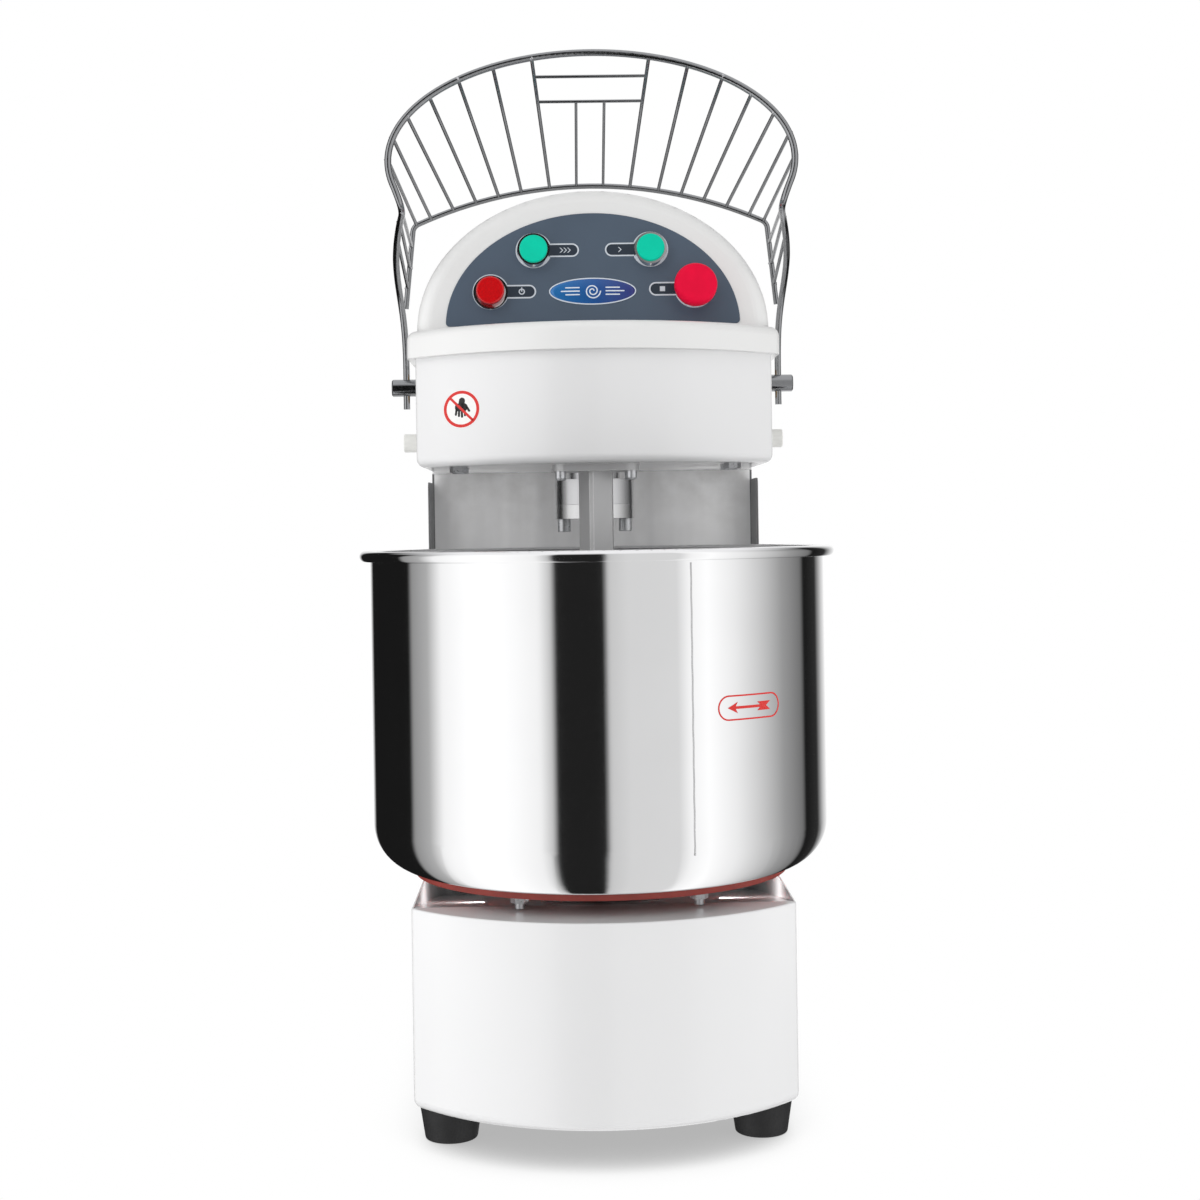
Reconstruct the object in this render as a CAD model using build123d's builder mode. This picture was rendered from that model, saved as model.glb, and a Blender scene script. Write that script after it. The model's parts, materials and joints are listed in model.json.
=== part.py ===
from build123d import *
from math import asin, atan2, cos, degrees, pi, radians, sin, sqrt
import os

# Spiral dough mixer, 30 litre class, free-standing on four rubber feet.
# Frame: millimetres, +Z up, front of the machine towards -Y, +X to the operator's right.
# Origin: on the floor, under the middle of the overall box. The dimensions below are laid out
# from the bowl's axis, and save() moves each finished piece back by ORIGIN_Y.

os.makedirs("parts", exist_ok=True)

# ---------------------------------------------------------------- driving dimensions

SHEET = 2.0                 # casing sheet thickness
HALF_W = 160.0              # half width of base, column and head
FRONT_R = 206.0             # plan radius of the curved front panels
REAR_Y = 530.0              # rear edge of the casing
BEND_R = 8.0                # bend radius along the lower edges
CORNER_R = 9.0              # bend radius of the front corners
REAR_OPENING = 143.0        # half width of the service opening at the rear

FOOT_H = 33.0
FOOT_SPOTS = [(-131, -84), (131, -84), (-131, 488), (131, 488)]
FOOT_R = 22.0               # radius at the floor
FOOT_FLARE = 5.0            # how much wider the foot is at its top
BASE_TOP = 199.0            # level of the base's side edges
BASE_FRONT = -191.0         # foremost point of the base
TRAY_START = -113.0         # where the tray begins to slope down
TRAY_DROP = 52.0            # fall of the tray on its way to the column
COLUMN_Y = 220.0            # front face of the column
HEAD_BOTTOM = 568.5
HEAD_TOP = 680.0            # rim of the head, hidden inside the cover's skirt
HEAD_FRONT = -60.0          # foremost point of the head

COVER_BOTTOM = 666.0        # lower edge of the plastic cover
LIP_TOP = 690.6
LIP_OUT = 7.0               # how far the cover's lip stands proud of the head
DOME_HALF_W = 158.0
DOME_H = 127.0
COVER_WALL = 3.0
FACE_Y = 8.0                # foot of the flat control face
FACE_LEAN = 8.0             # degrees that the control face leans back
PANEL_T = 0.8
PANEL_HALF_W = 131.5
PANEL_H = 103.0
PANEL_FOOT = 3.0
PANEL_CORNER_R = 3.5

BOWL_R = 200.0
BOWL_BOTTOM = 216.7
BOWL_T = 1.6
BOWL_CORNER_R = 40.0
RIM_R = 209.5
RIM_Z = 490.0
RIM_TUBE_R = 4.6
TURNTABLE_R = 164.0
TURNTABLE_T = 5.0
STUD_CIRCLE_R = 148.0       # radius of the bowl's stud circle
STUD_START = -58.0          # angle of the first of six studs, from +X

SPIRAL_Y = 90.0             # spiral axis
SPIRAL_ROD_R = 12.0
SPIRAL_PATH_R = 66.0
SPIRAL_TURNS = 1.6
SPIRAL_FLANGE_R = 37.0
SPIRAL_SCREW_R = 28.5
SPIRAL_LOW = 240.0

BAR_Y = -10.0               # breaker bar
BAR_SIDE = 24.0
BAR_TURN = 28.6
BAR_LOW = 228.0
BAR_SCREW_X, BAR_SCREW_Y = 31.0, 22.0

SHAFT_Y = 300.0             # main shaft, behind the column's front plate
SHAFT_R = 12.5
BOWL_SHAFT_R = 22.5
LAY_X, LAY_Y = -55.0, 160.0
MOTOR_Y = 445.0
RUN = 0.05                  # radial running clearance

CORD_R = 4.5                # mains cord, lying behind the machine, and its plug
GLAND_R = 8.0
CORD_X, CORD_Z = -100.0, 90.0
CORD_Y = REAR_Y + 42
CORD_FLOOR_Z = 6.0
PLUG_R = 18.5
ORIGIN_Y = (CORD_Y + PLUG_R - RIM_R) / 2

CHAIN_PITCH = 12.7
TEETH_SHAFT_TOP, TEETH_SPIRAL = 19, 38
TEETH_SHAFT_LOW, TEETH_LAY_IN = 13, 45
TEETH_LAY_OUT, TEETH_BOWL = 12, 60
SPROCKET_T = 7.0
LEVEL_HEAD_CHAIN = 643.5    # mid-heights of the three chains and the belts
LEVEL_BOWL_CHAIN = 94.0
LEVEL_LAY_CHAIN = 66.0
LEVEL_BELTS = 610.0
BELT_GAP = 13.0             # between the two belts
PULLEY_MOTOR_R, PULLEY_SHAFT_R = 30.0, 105.0

PLATE_T = 10.0              # bearing plates in head and base
HEAD_PLATE_Z = HEAD_BOTTOM + SHEET
HEAD_PLATE_TOP = HEAD_PLATE_Z + PLATE_T
BASE_PLATE_Z = 112.0

PIVOT_Y, PIVOT_Z = 93.0, 645.7   # guard hinge
PIN_R = 8.0
ARM_X = 174.0
WIRE_R = 3.0
HOOP_R = 2.5
GUARD_BAR_R = 1.6
CROSSBAR_R = 1.4
GUARD_DROP = 140.0          # how far the outer wire hangs below the hinge when lowered


# ---------------------------------------------------------------- helpers

def plan_face(front_y, inset, rear_y):
    """Plan of a casing: straight sides and an arc across the front."""
    half = HALF_W - inset
    radius = FRONT_R - inset
    corner_y = front_y + FRONT_R - sqrt(radius**2 - half**2)
    with BuildSketch() as plan:
        with BuildLine():
            ThreePointArc((-half, corner_y), (0, front_y + inset), (half, corner_y))
            Polyline((half, corner_y), (half, rear_y), (-half, rear_y), (-half, corner_y))
        make_face()
    return plan.sketch


def turned(plane, steps, bores=()):
    """Turned piece: each step or bore is (start, end, radius) along the plane's normal."""
    with BuildPart() as piece:
        for start, end, radius in steps:
            with BuildSketch(plane.offset(start)):
                Circle(radius)
            extrude(amount=end - start)
        for start, end, radius in bores:
            with BuildSketch(plane.offset(start)):
                Circle(radius)
            extrude(amount=end - start, mode=Mode.SUBTRACT)
    return piece.part


def upright(x, y, steps, bores=()):
    """Turned piece on a vertical axis, its steps given as heights above the floor."""
    return turned(Plane(origin=(x, y, 0)), steps, bores)


def rod(start, end, radius):
    """Straight round bar between two points."""
    axis = Vector(*end) - Vector(*start)
    return turned(Plane(origin=start, z_dir=axis), [(0, axis.length, radius)])


def screw(plane, head_r, head_h, shank_r, shank_l, hexagon=True):
    """Screw whose head stands on the plane, along its normal, with the shank behind it."""
    with BuildPart() as piece:
        with BuildSketch(plane):
            if hexagon:
                RegularPolygon(head_r, 6, major_radius=False)
            else:
                Circle(head_r)
        extrude(amount=head_h)
        chamfer(piece.faces().sort_by(Axis(plane.origin, plane.z_dir))[-1].edges(), 0.6)
        if not hexagon:
            with BuildSketch(plane.offset(head_h)):
                RegularPolygon(head_r * 0.5, 6)
            extrude(amount=-head_h * 0.5, mode=Mode.SUBTRACT)
        with BuildSketch(plane):
            Circle(shank_r)
        extrude(amount=-shank_l)
    return piece.part


def save(part, name):
    """Label a finished piece, move it into the part's frame and write its STEP file."""
    placed = part.moved(Location((0, -ORIGIN_Y, 0)))
    placed.label = name
    export_step(placed, f"parts/{name}.step")


def save_group(pieces, name):
    """Write several separate solids as one node."""
    with BuildPart() as grouped:
        add(pieces)
    save(grouped.part, name)


DOWN = (0, 0, -1)


def below(x, y, z):
    """Plane facing the floor at a point."""
    return Plane(origin=(x, y, z), z_dir=DOWN)


# ---------------------------------------------------------------- casing

def wedge(drop):
    """Space above the sloping tray, as a side profile; drop lowers it by the sheet."""
    with BuildSketch(Plane.YZ) as profile:
        with BuildLine():
            Polyline(
                (TRAY_START, BASE_TOP - drop),
                (COLUMN_Y, BASE_TOP - TRAY_DROP - drop),
                (COLUMN_Y, BASE_TOP + 1),
                (TRAY_START, BASE_TOP + 1),
                close=True,
            )
        make_face()
    return profile.sketch


def rear_opening(low, high):
    """Block that opens the rear wall of a casing."""
    with BuildPart() as block:
        with BuildSketch(Plane.XY.offset(low)):
            with Locations((0, REAR_Y)):
                Rectangle(2 * REAR_OPENING, 6 * SHEET)
        extrude(amount=high - low)
    return block.part


base_plan = plan_face(BASE_FRONT, 0, REAR_Y)
base_plan_inside = plan_face(BASE_FRONT, SHEET, REAR_Y - SHEET)
wedge_top, wedge_under = wedge(0), wedge(SHEET)

with BuildPart() as base_void:
    with BuildSketch(Plane.XY.offset(FOOT_H + SHEET)):
        add(base_plan_inside)
    extrude(amount=BASE_TOP - FOOT_H - 2 * SHEET)
    fillet(base_void.edges().filter_by(Axis.Z).group_by(Axis.Y)[0], CORNER_R - SHEET)
    fillet(base_void.faces().sort_by(Axis.Z)[0].edges(), BEND_R - SHEET)
    extrude(wedge_under, amount=HALF_W, both=True, mode=Mode.SUBTRACT)
    with BuildSketch(Plane.XY.offset(BASE_TOP - TRAY_DROP)):
        with Locations((0, (COLUMN_Y + REAR_Y) / 2)):
            Rectangle(2 * (HALF_W - SHEET), REAR_Y - COLUMN_Y - 2 * SHEET)
    extrude(amount=TRAY_DROP + 1)

base_rear_opening = rear_opening(50, BASE_TOP + 1)

with BuildPart() as base_casing:
    with BuildSketch(Plane.XY.offset(FOOT_H)):
        add(base_plan)
    extrude(amount=BASE_TOP - FOOT_H)
    fillet(base_casing.edges().filter_by(Axis.Z).group_by(Axis.Y)[0], CORNER_R)
    fillet(base_casing.faces().sort_by(Axis.Z)[0].edges(), BEND_R)
    extrude(wedge_top, amount=HALF_W - SHEET, both=True, mode=Mode.SUBTRACT)
    top_face = base_casing.faces().sort_by(Axis.Z)[-1]
    fillet(top_face.edges().filter_by(GeomType.CIRCLE).sort_by(Axis.Y)[0], 1.5)
    add(base_void.part, mode=Mode.SUBTRACT)
    add(base_rear_opening, mode=Mode.SUBTRACT)
    with BuildSketch(Plane.XY.offset(BASE_TOP)):
        Circle(54)
    extrude(amount=-TRAY_DROP, mode=Mode.SUBTRACT)
    with BuildSketch(Plane.XY.offset(FOOT_H)):
        with Locations((0, 200)):
            RectangleRounded(150, 360, 20)
        with Locations(*FOOT_SPOTS):
            Circle(5.3)
    extrude(amount=SHEET, mode=Mode.SUBTRACT)
save(base_casing.part, "base_casing")

column_rear_opening = rear_opening(BASE_TOP - 1, HEAD_BOTTOM + 1)

with BuildPart() as column_casing:
    with BuildSketch(Plane.XY.offset(BASE_TOP)):
        with Locations((0, (COLUMN_Y + REAR_Y) / 2)):
            Rectangle(2 * HALF_W, REAR_Y - COLUMN_Y)
            Rectangle(2 * (HALF_W - SHEET), REAR_Y - COLUMN_Y - 2 * SHEET, mode=Mode.SUBTRACT)
    extrude(amount=HEAD_BOTTOM - BASE_TOP)
    add(column_rear_opening, mode=Mode.SUBTRACT)
save(column_casing.part, "column_casing")

head_plan = plan_face(HEAD_FRONT, 0, COLUMN_Y)
head_plan_inside = plan_face(HEAD_FRONT, SHEET, REAR_Y - SHEET)
head_rear_opening = rear_opening(HEAD_BOTTOM - 1, HEAD_TOP - 30)
PIN_HOLE_R = 11.0
BUMPER_Z = 594.0            # rest bumpers of the lowered guard
SCREW_R = 4.0               # the head's and the spiral's screws
SCREW_HOLE_R = 4.05
SHEET_HOLE_R = 4.2
SHAFT_HOLE_R = 16.0
SPINDLE_HOLE_R = 40.0
HEAD_SCREWS = [(x, y) for x in (-122, 122) for y in (0, 40)]

with BuildPart() as head_void:
    with BuildSketch(Plane.XY.offset(HEAD_BOTTOM + SHEET)):
        add(head_plan_inside)
    extrude(amount=HEAD_TOP - HEAD_BOTTOM)
    fillet(head_void.edges().filter_by(Axis.Z).group_by(Axis.Y)[0], CORNER_R - SHEET)
    fillet(head_void.faces().sort_by(Axis.Z)[0].edges(), BEND_R - SHEET)
    with BuildSketch(Plane.XY.offset(HEAD_BOTTOM)):
        with Locations((0, (COLUMN_Y + REAR_Y) / 2)):
            Rectangle(2 * (HALF_W - SHEET), REAR_Y - COLUMN_Y - 2 * SHEET)
    extrude(amount=3 * SHEET)

with BuildPart() as head_casing:
    with BuildSketch(Plane.XY.offset(HEAD_BOTTOM)):
        add(head_plan)
    extrude(amount=HEAD_TOP - HEAD_BOTTOM)
    fillet(head_casing.edges().filter_by(Axis.Z).group_by(Axis.Y)[0], CORNER_R)
    under_edges = head_casing.faces().sort_by(Axis.Z)[0].edges().sort_by(Axis.Y)[:-1]
    fillet(under_edges, BEND_R)
    with BuildSketch(Plane.XY.offset(HEAD_BOTTOM)):
        with Locations((0, (COLUMN_Y + REAR_Y) / 2)):
            Rectangle(2 * HALF_W, REAR_Y - COLUMN_Y)
    extrude(amount=HEAD_TOP - HEAD_BOTTOM)
    add(head_void.part, mode=Mode.SUBTRACT)
    add(head_rear_opening, mode=Mode.SUBTRACT)
    with BuildSketch(Plane.XY.offset(HEAD_BOTTOM)):
        with Locations((0, SPIRAL_Y)):
            Circle(SPINDLE_HOLE_R)
        with Locations(*HEAD_SCREWS):
            Circle(SHEET_HOLE_R)
        with Locations((0, BAR_Y)):
            with GridLocations(2 * BAR_SCREW_X, 2 * BAR_SCREW_Y, 2, 2):
                Circle(SHEET_HOLE_R)
    extrude(amount=SHEET, mode=Mode.SUBTRACT)
    with BuildSketch(Plane.YZ):
        with Locations((PIVOT_Y, PIVOT_Z)):
            Circle(PIN_HOLE_R)
        with Locations((PIVOT_Y, BUMPER_Z)):
            Circle(SHEET_HOLE_R)
    extrude(amount=HALF_W + 1, both=True, mode=Mode.SUBTRACT)
save(head_casing.part, "head_casing")

# Thick plates that carry the bearings.
head_plate_plan = plan_face(HEAD_FRONT, 10, SHAFT_Y + 48)

with BuildPart() as head_bearing_plate:
    with BuildSketch(Plane.XY.offset(HEAD_PLATE_Z)):
        add(head_plate_plan)
        with Locations((0, SPIRAL_Y)):
            Circle(SPINDLE_HOLE_R - 2, mode=Mode.SUBTRACT)
        with Locations((0, SHAFT_Y)):
            Circle(SHAFT_HOLE_R, mode=Mode.SUBTRACT)
        with Locations(*HEAD_SCREWS):
            Circle(SCREW_HOLE_R, mode=Mode.SUBTRACT)
        with Locations((0, BAR_Y)):
            with GridLocations(2 * BAR_SCREW_X, 2 * BAR_SCREW_Y, 2, 2):
                Circle(SCREW_HOLE_R, mode=Mode.SUBTRACT)
    extrude(amount=PLATE_T)
save(head_bearing_plate.part, "head_bearing_plate")

with BuildPart() as base_bearing_plate:
    with BuildSketch(Plane.XY.offset(BASE_PLATE_Z)):
        with Locations((0, 120)):
            Rectangle(2 * (HALF_W - SHEET), 430)
        Circle(BOWL_SHAFT_R + 1.5, mode=Mode.SUBTRACT)
        with Locations((LAY_X, LAY_Y), (0, SHAFT_Y)):
            Circle(SHAFT_HOLE_R, mode=Mode.SUBTRACT)
    extrude(amount=PLATE_T)
save(base_bearing_plate.part, "base_bearing_plate")

save_group([screw(below(x, y, HEAD_BOTTOM), 6.5, 5.3, SCREW_R, SHEET + PLATE_T) for x, y in HEAD_SCREWS],
           "head_plate_screws")

# Stainless splash cover on the column's front, with two wings towards the bowl.
WING_Y = 156.0
WING_TOP = 559.0
SPLASH_T = 1.5

with BuildPart() as splash_cover:
    with BuildSketch(Plane.XY.offset(BASE_TOP)):
        with Locations((0, COLUMN_Y - SPLASH_T / 2)):
            Rectangle(2 * HALF_W, SPLASH_T)
    extrude(amount=HEAD_BOTTOM - BASE_TOP)
    with BuildSketch(Plane.XY.offset(BASE_TOP)):
        for side in (-1, 1):
            with Locations((side * (HALF_W - SPLASH_T / 2), (WING_Y + COLUMN_Y) / 2)):
                Rectangle(SPLASH_T, COLUMN_Y - WING_Y)
    extrude(amount=WING_TOP - BASE_TOP)
    fillet(splash_cover.edges().filter_by(Axis.X).group_by(Axis.Y)[0].group_by(Axis.Z)[-1], 6)
save(splash_cover.part, "splash_cover")

# Louvred rear cover and its screws.
REAR_T = 1.5
REAR_LOW, REAR_HIGH = 44.0, 662.0
REAR_SCREW_R = 2.5
REAR_SCREWS = [(x, z) for x in (-151.5, 151.5) for z in (60, 255, 450, 645)]
LOUVRE_W, LOUVRE_H, LOUVRE_OUT = 96.0, 9.0, 5.0
LOUVRE_LOW, LOUVRE_PITCH, LOUVRE_ROWS = 330, 22, 6
LOUVRE_SPOTS = [(x, LOUVRE_LOW + LOUVRE_PITCH * row) for x in (-64, 64) for row in range(LOUVRE_ROWS)]


def louvre(x, z):
    """Pressed-out hood over a ventilation slot, open downwards."""
    with BuildPart() as hood:
        with BuildSketch(Plane.YZ.offset(x)):
            with BuildLine():
                Polyline((REAR_Y + REAR_T, z + LOUVRE_H), (REAR_Y + REAR_T + LOUVRE_OUT, z),
                         (REAR_Y + REAR_T + LOUVRE_OUT - 1.2, z), (REAR_Y + REAR_T - 1.2, z + LOUVRE_H - 1),
                         close=True)
            make_face()
        extrude(amount=LOUVRE_W / 2, both=True)
    return hood.part


hoods = [louvre(x, z) for x, z in LOUVRE_SPOTS]

with BuildPart() as rear_cover:
    with BuildSketch(Plane.XZ.offset(-REAR_Y)):
        with Locations((0, (REAR_LOW + REAR_HIGH) / 2)):
            RectangleRounded(2 * HALF_W, REAR_HIGH - REAR_LOW, 6)
        with Locations(*[(x, z + LOUVRE_H / 2 - 1) for x, z in LOUVRE_SPOTS]):
            Rectangle(LOUVRE_W - 4, LOUVRE_H - 3, mode=Mode.SUBTRACT)
        with Locations(*REAR_SCREWS):
            Circle(REAR_SCREW_R + 0.2, mode=Mode.SUBTRACT)
        with Locations((CORD_X, CORD_Z)):
            Circle(GLAND_R + 0.2, mode=Mode.SUBTRACT)
    extrude(amount=-REAR_T)
    add(hoods)
save(rear_cover.part, "rear_cover")

BACKWARDS = (0, 1, 0)
save_group([screw(Plane(origin=(x, REAR_Y + REAR_T, z), z_dir=BACKWARDS), 4, 3.5, REAR_SCREW_R, REAR_T)
            for x, z in REAR_SCREWS], "rear_cover_screws")

# Rubber feet, each held by a bolt through the casing's floor.
FLOOR_TOP = FOOT_H + SHEET
FOOT_RECESS_R, FOOT_RECESS_H = 9.0, 12.0
FOOT_BOLT_R = 5.0

with BuildPart() as one_foot:
    with BuildSketch():
        Circle(FOOT_R)
    extrude(amount=FOOT_H, taper=-degrees(asin(FOOT_FLARE / FOOT_H)))
    fillet(one_foot.edges().group_by(Axis.Z)[0], 2)
    with BuildSketch():
        Circle(FOOT_RECESS_R)
    extrude(amount=FOOT_RECESS_H, mode=Mode.SUBTRACT)
    with BuildSketch():
        Circle(FOOT_BOLT_R + 0.05)
    extrude(amount=FOOT_H, mode=Mode.SUBTRACT)
with BuildPart() as rubber_feet:
    with Locations(*FOOT_SPOTS):
        add(one_foot.part)
save(rubber_feet.part, "rubber_feet")

one_bolt = upright(0, 0, [(FOOT_RECESS_H - 7, FOOT_RECESS_H, 8), (FOOT_RECESS_H, FLOOR_TOP + 9, FOOT_BOLT_R),
                          (FLOOR_TOP, FLOOR_TOP + 7, 8.5)])
with BuildPart() as foot_bolts:
    with Locations(*FOOT_SPOTS):
        add(one_bolt)
save(foot_bolts.part, "foot_bolts")


# ---------------------------------------------------------------- plastic cover and controls

# Sections of the dome: distance back, and the share of its full half width and height there.
DOME_STATIONS = [(-40, 1.0, 1.0), (120, 1.0, 1.0), (330, 0.985, 0.93), (560, 0.95, 0.74)]
DOME_SINK = 6.0             # how far the dome's sides reach down into the lip
REAR_LEAN = 25.0            # degrees that the rear of the dome leans forward
FRONT_ARCH_R, REAR_ARCH_R = 14.0, 12.0


def dome(inset):
    """Arched cover between the leaning control face and the sloping rear, without its lip."""
    with BuildPart() as shape:
        for y, wide, high in DOME_STATIONS:
            half = DOME_HALF_W * wide - inset
            tall = DOME_H * high - inset
            with BuildSketch(Plane.XZ.offset(-y)):
                with BuildLine():
                    EllipticalCenterArc((0, LIP_TOP), half, tall, start_angle=0, arc_size=180)
                    Polyline((-half, LIP_TOP), (-half, LIP_TOP - DOME_SINK), (half, LIP_TOP - DOME_SINK),
                             (half, LIP_TOP))
                make_face()
        loft()
        split(bisect_by=Plane(origin=(0, FACE_Y + inset, LIP_TOP), x_dir=(1, 0, 0),
                              z_dir=(0, -cos(radians(FACE_LEAN)), sin(radians(FACE_LEAN)))),
              keep=Keep.BOTTOM)
        split(bisect_by=Plane(origin=(0, REAR_Y - 8 - inset, LIP_TOP), x_dir=(1, 0, 0),
                              z_dir=(0, cos(radians(REAR_LEAN)), sin(radians(REAR_LEAN)))), keep=Keep.BOTTOM)
        for end, radius in ((0, FRONT_ARCH_R), (-1, REAR_ARCH_R)):
            arch = shape.faces().filter_by(GeomType.PLANE).sort_by(Axis.Y)[end].edges()
            fillet(arch.sort_by(SortBy.LENGTH)[-1], radius - inset)
    return shape.part


dome_outside = dome(0)
dome_inside = dome(COVER_WALL)
lip_plan = plan_face(HEAD_FRONT, -LIP_OUT, REAR_Y + LIP_OUT)
skirt_plan = plan_face(HEAD_FRONT, -0.5, REAR_Y + 0.5)
ledge_plan = plan_face(HEAD_FRONT, 4, REAR_Y - 4)

FACE = Plane(origin=(0, FACE_Y, LIP_TOP), x_dir=(1, 0, 0),
             z_dir=(0, -cos(radians(FACE_LEAN)), sin(radians(FACE_LEAN))))


def face_spot(x, height):
    """Plane on the control face, at a height above the lip measured along the face."""
    return Plane(origin=FACE.from_local_coords((x, height, 0)), x_dir=(1, 0, 0), z_dir=FACE.z_dir)


FAST_SPOT = face_spot(-52.3, 70.6)
SLOW_SPOT = face_spot(52.3, 70.6)
POWER_SPOT = face_spot(-91.2, 33.5)
STOP_SPOT = face_spot(91.2, 33.5)
SWITCH_SPOTS = (FAST_SPOT, SLOW_SPOT, POWER_SPOT, STOP_SPOT)
BARREL_R = 11.0
barrel_holes = [turned(spot, [(-12, 6, BARREL_R + 0.15)]) for spot in SWITCH_SPOTS]

with BuildPart() as head_cover:
    with BuildSketch(Plane.XY.offset(COVER_BOTTOM)):
        add(lip_plan)
    extrude(amount=LIP_TOP - COVER_BOTTOM)
    fillet(head_cover.edges().filter_by(Axis.Z), 14)
    fillet(head_cover.faces().sort_by(Axis.Z)[-1].edges(), 8)
    add(dome_outside)
    with BuildSketch(Plane.XY.offset(COVER_BOTTOM)):
        add(skirt_plan)
    extrude(amount=HEAD_TOP - COVER_BOTTOM, mode=Mode.SUBTRACT)
    with BuildSketch(Plane.XY.offset(HEAD_TOP)):
        add(ledge_plan)
    extrude(amount=LIP_TOP - COVER_WALL - HEAD_TOP, mode=Mode.SUBTRACT)
    add(dome_inside, mode=Mode.SUBTRACT)
    add(barrel_holes, mode=Mode.SUBTRACT)
save(head_cover.part, "head_cover")

with BuildPart() as control_panel:
    with BuildSketch(FACE) as panel_outline:
        with BuildLine():
            EllipticalCenterArc((0, PANEL_FOOT), PANEL_HALF_W, PANEL_H, start_angle=0, arc_size=180)
            Line((-PANEL_HALF_W, PANEL_FOOT), (PANEL_HALF_W, PANEL_FOOT))
        make_face()
    extrude(amount=PANEL_T)
    corners = control_panel.edges().filter_by(Axis(FACE.origin, FACE.z_dir)).sort_by(Axis.Z)[:2]
    fillet(corners, PANEL_CORNER_R)
    add(barrel_holes, mode=Mode.SUBTRACT)
save(control_panel.part, "control_panel")

# Switch bodies: a bezel with its barrel through the face, and a ring nut behind.
STEM_R = 8.0
STEM_LOW = -14.0
BEZEL_H, LAMP_BEZEL_H, STOP_BEZEL_H = 11.0, 3.0, 8.0
CAP_R, CAP_LOW, CAP_HIGH = 12.45, 7.5, 13.5
barrel_and_nut = [(-16, PANEL_T, BARREL_R), (-6, -COVER_WALL - 0.1, 15)]
button_bezel = [(PANEL_T, BEZEL_H, 14.5)] + barrel_and_nut
lamp_bezel = [(PANEL_T, LAMP_BEZEL_H, 15.5)] + barrel_and_nut
stop_bezel = [(PANEL_T, STOP_BEZEL_H, 15.0)] + barrel_and_nut
bore = [(-16, BEZEL_H, STEM_R + 0.1)]
cap_well = [(4, BEZEL_H, CAP_R + 0.15)]
save_group([
    turned(FAST_SPOT, button_bezel, bore + cap_well),
    turned(SLOW_SPOT, button_bezel, bore + cap_well),
    turned(POWER_SPOT, lamp_bezel, bore),
    turned(STOP_SPOT, stop_bezel, bore),
], "switch_bezels")


def button_cap(spot):
    """Push-button cap on its plunger."""
    with BuildPart() as cap:
        with BuildSketch(spot.offset(CAP_LOW)):
            Circle(CAP_R)
        extrude(amount=CAP_HIGH - CAP_LOW)
        fillet(cap.faces().sort_by(Axis(spot.origin, spot.z_dir))[-1].edges(), 1.2)
        with BuildSketch(spot.offset(STEM_LOW)):
            Circle(STEM_R)
        extrude(amount=CAP_LOW + 0.5 - STEM_LOW)
    return cap.part


save(button_cap(FAST_SPOT), "fast_button")
save(button_cap(SLOW_SPOT), "slow_button")

LENS_R, LENS_H = 13.4, 9.0
with BuildPart() as power_lamp:
    with BuildSketch(POWER_SPOT.offset(LAMP_BEZEL_H)):
        Circle(LENS_R)
    extrude(amount=LENS_H, taper=5)
    fillet(power_lamp.faces().sort_by(Axis(POWER_SPOT.origin, POWER_SPOT.z_dir))[-1].edges(), 1.5)
    with BuildSketch(POWER_SPOT.offset(STEM_LOW)):
        Circle(STEM_R)
    extrude(amount=LAMP_BEZEL_H + 1 - STEM_LOW)
save(power_lamp.part, "power_lamp")

MUSHROOM_R, MUSHROOM_LOW, MUSHROOM_H = 19.0, 17.0, 10.0
with BuildPart() as stop_button:
    with BuildSketch(STOP_SPOT.offset(MUSHROOM_LOW)):
        Circle(MUSHROOM_R)
    extrude(amount=MUSHROOM_H)
    fillet(stop_button.faces().sort_by(Axis(STOP_SPOT.origin, STOP_SPOT.z_dir))[-1].edges(), MUSHROOM_H / 2)
    with BuildSketch(STOP_SPOT.offset(MUSHROOM_LOW - 4)):
        Circle(12)
    extrude(amount=5)
    with BuildSketch(STOP_SPOT.offset(STEM_LOW)):
        Circle(STEM_R)
    extrude(amount=MUSHROOM_LOW - 7 - STEM_LOW)
save(stop_button.part, "stop_button")


def contact_block(spot):
    """Contact block clipped behind a switch."""
    with BuildPart() as block:
        with BuildSketch(spot.offset(-48)):
            Rectangle(30, 26)
        extrude(amount=27)
        chamfer(block.faces().sort_by(Axis(spot.origin, spot.z_dir))[0].edges(), 2)
    return block.part


save_group([contact_block(spot) for spot in SWITCH_SPOTS], "contact_blocks")


# ---------------------------------------------------------------- guard, in its raised position

def guard_point(x, reach, drop):
    """Point of the guard: reach and drop are forward and down from the hinge when lowered."""
    return (x, PIVOT_Y - drop, PIVOT_Z + reach)


# The outer wire is half an ellipse across the front that closes in a little at its ends, and is then
# bent back along the arms to the hinge pins.
WIRE_HALF_W, WIRE_HALF_H, WIRE_SIDE_REACH = 176.1, 92.6, 185.0
WIRE_END_ANGLE = -12.0      # where on the ellipse the bend starts, from +X
WIRE_FRONT = Plane(origin=guard_point(0, WIRE_SIDE_REACH, GUARD_DROP), x_dir=(1, 0, 0), z_dir=(0, -1, 0))
WIRE_TAIL = [guard_point(ARM_X, -20, 0), guard_point(ARM_X, 16, 0)]
WIRE_END_OUT, WIRE_END_UP = cos(radians(WIRE_END_ANGLE)), sin(radians(WIRE_END_ANGLE))
WIRE_END = guard_point(WIRE_HALF_W * WIRE_END_OUT, WIRE_SIDE_REACH + WIRE_HALF_H * WIRE_END_UP, GUARD_DROP)
WIRE_END_HEADING = (-WIRE_HALF_W * WIRE_END_UP, 0, WIRE_HALF_H * WIRE_END_OUT)
WIRE_BEND = [guard_point(ARM_X, 16, 0), guard_point(176.2, 68, 6), guard_point(177, 112, 60),
             guard_point(168.2, 140, 110), WIRE_END]

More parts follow.
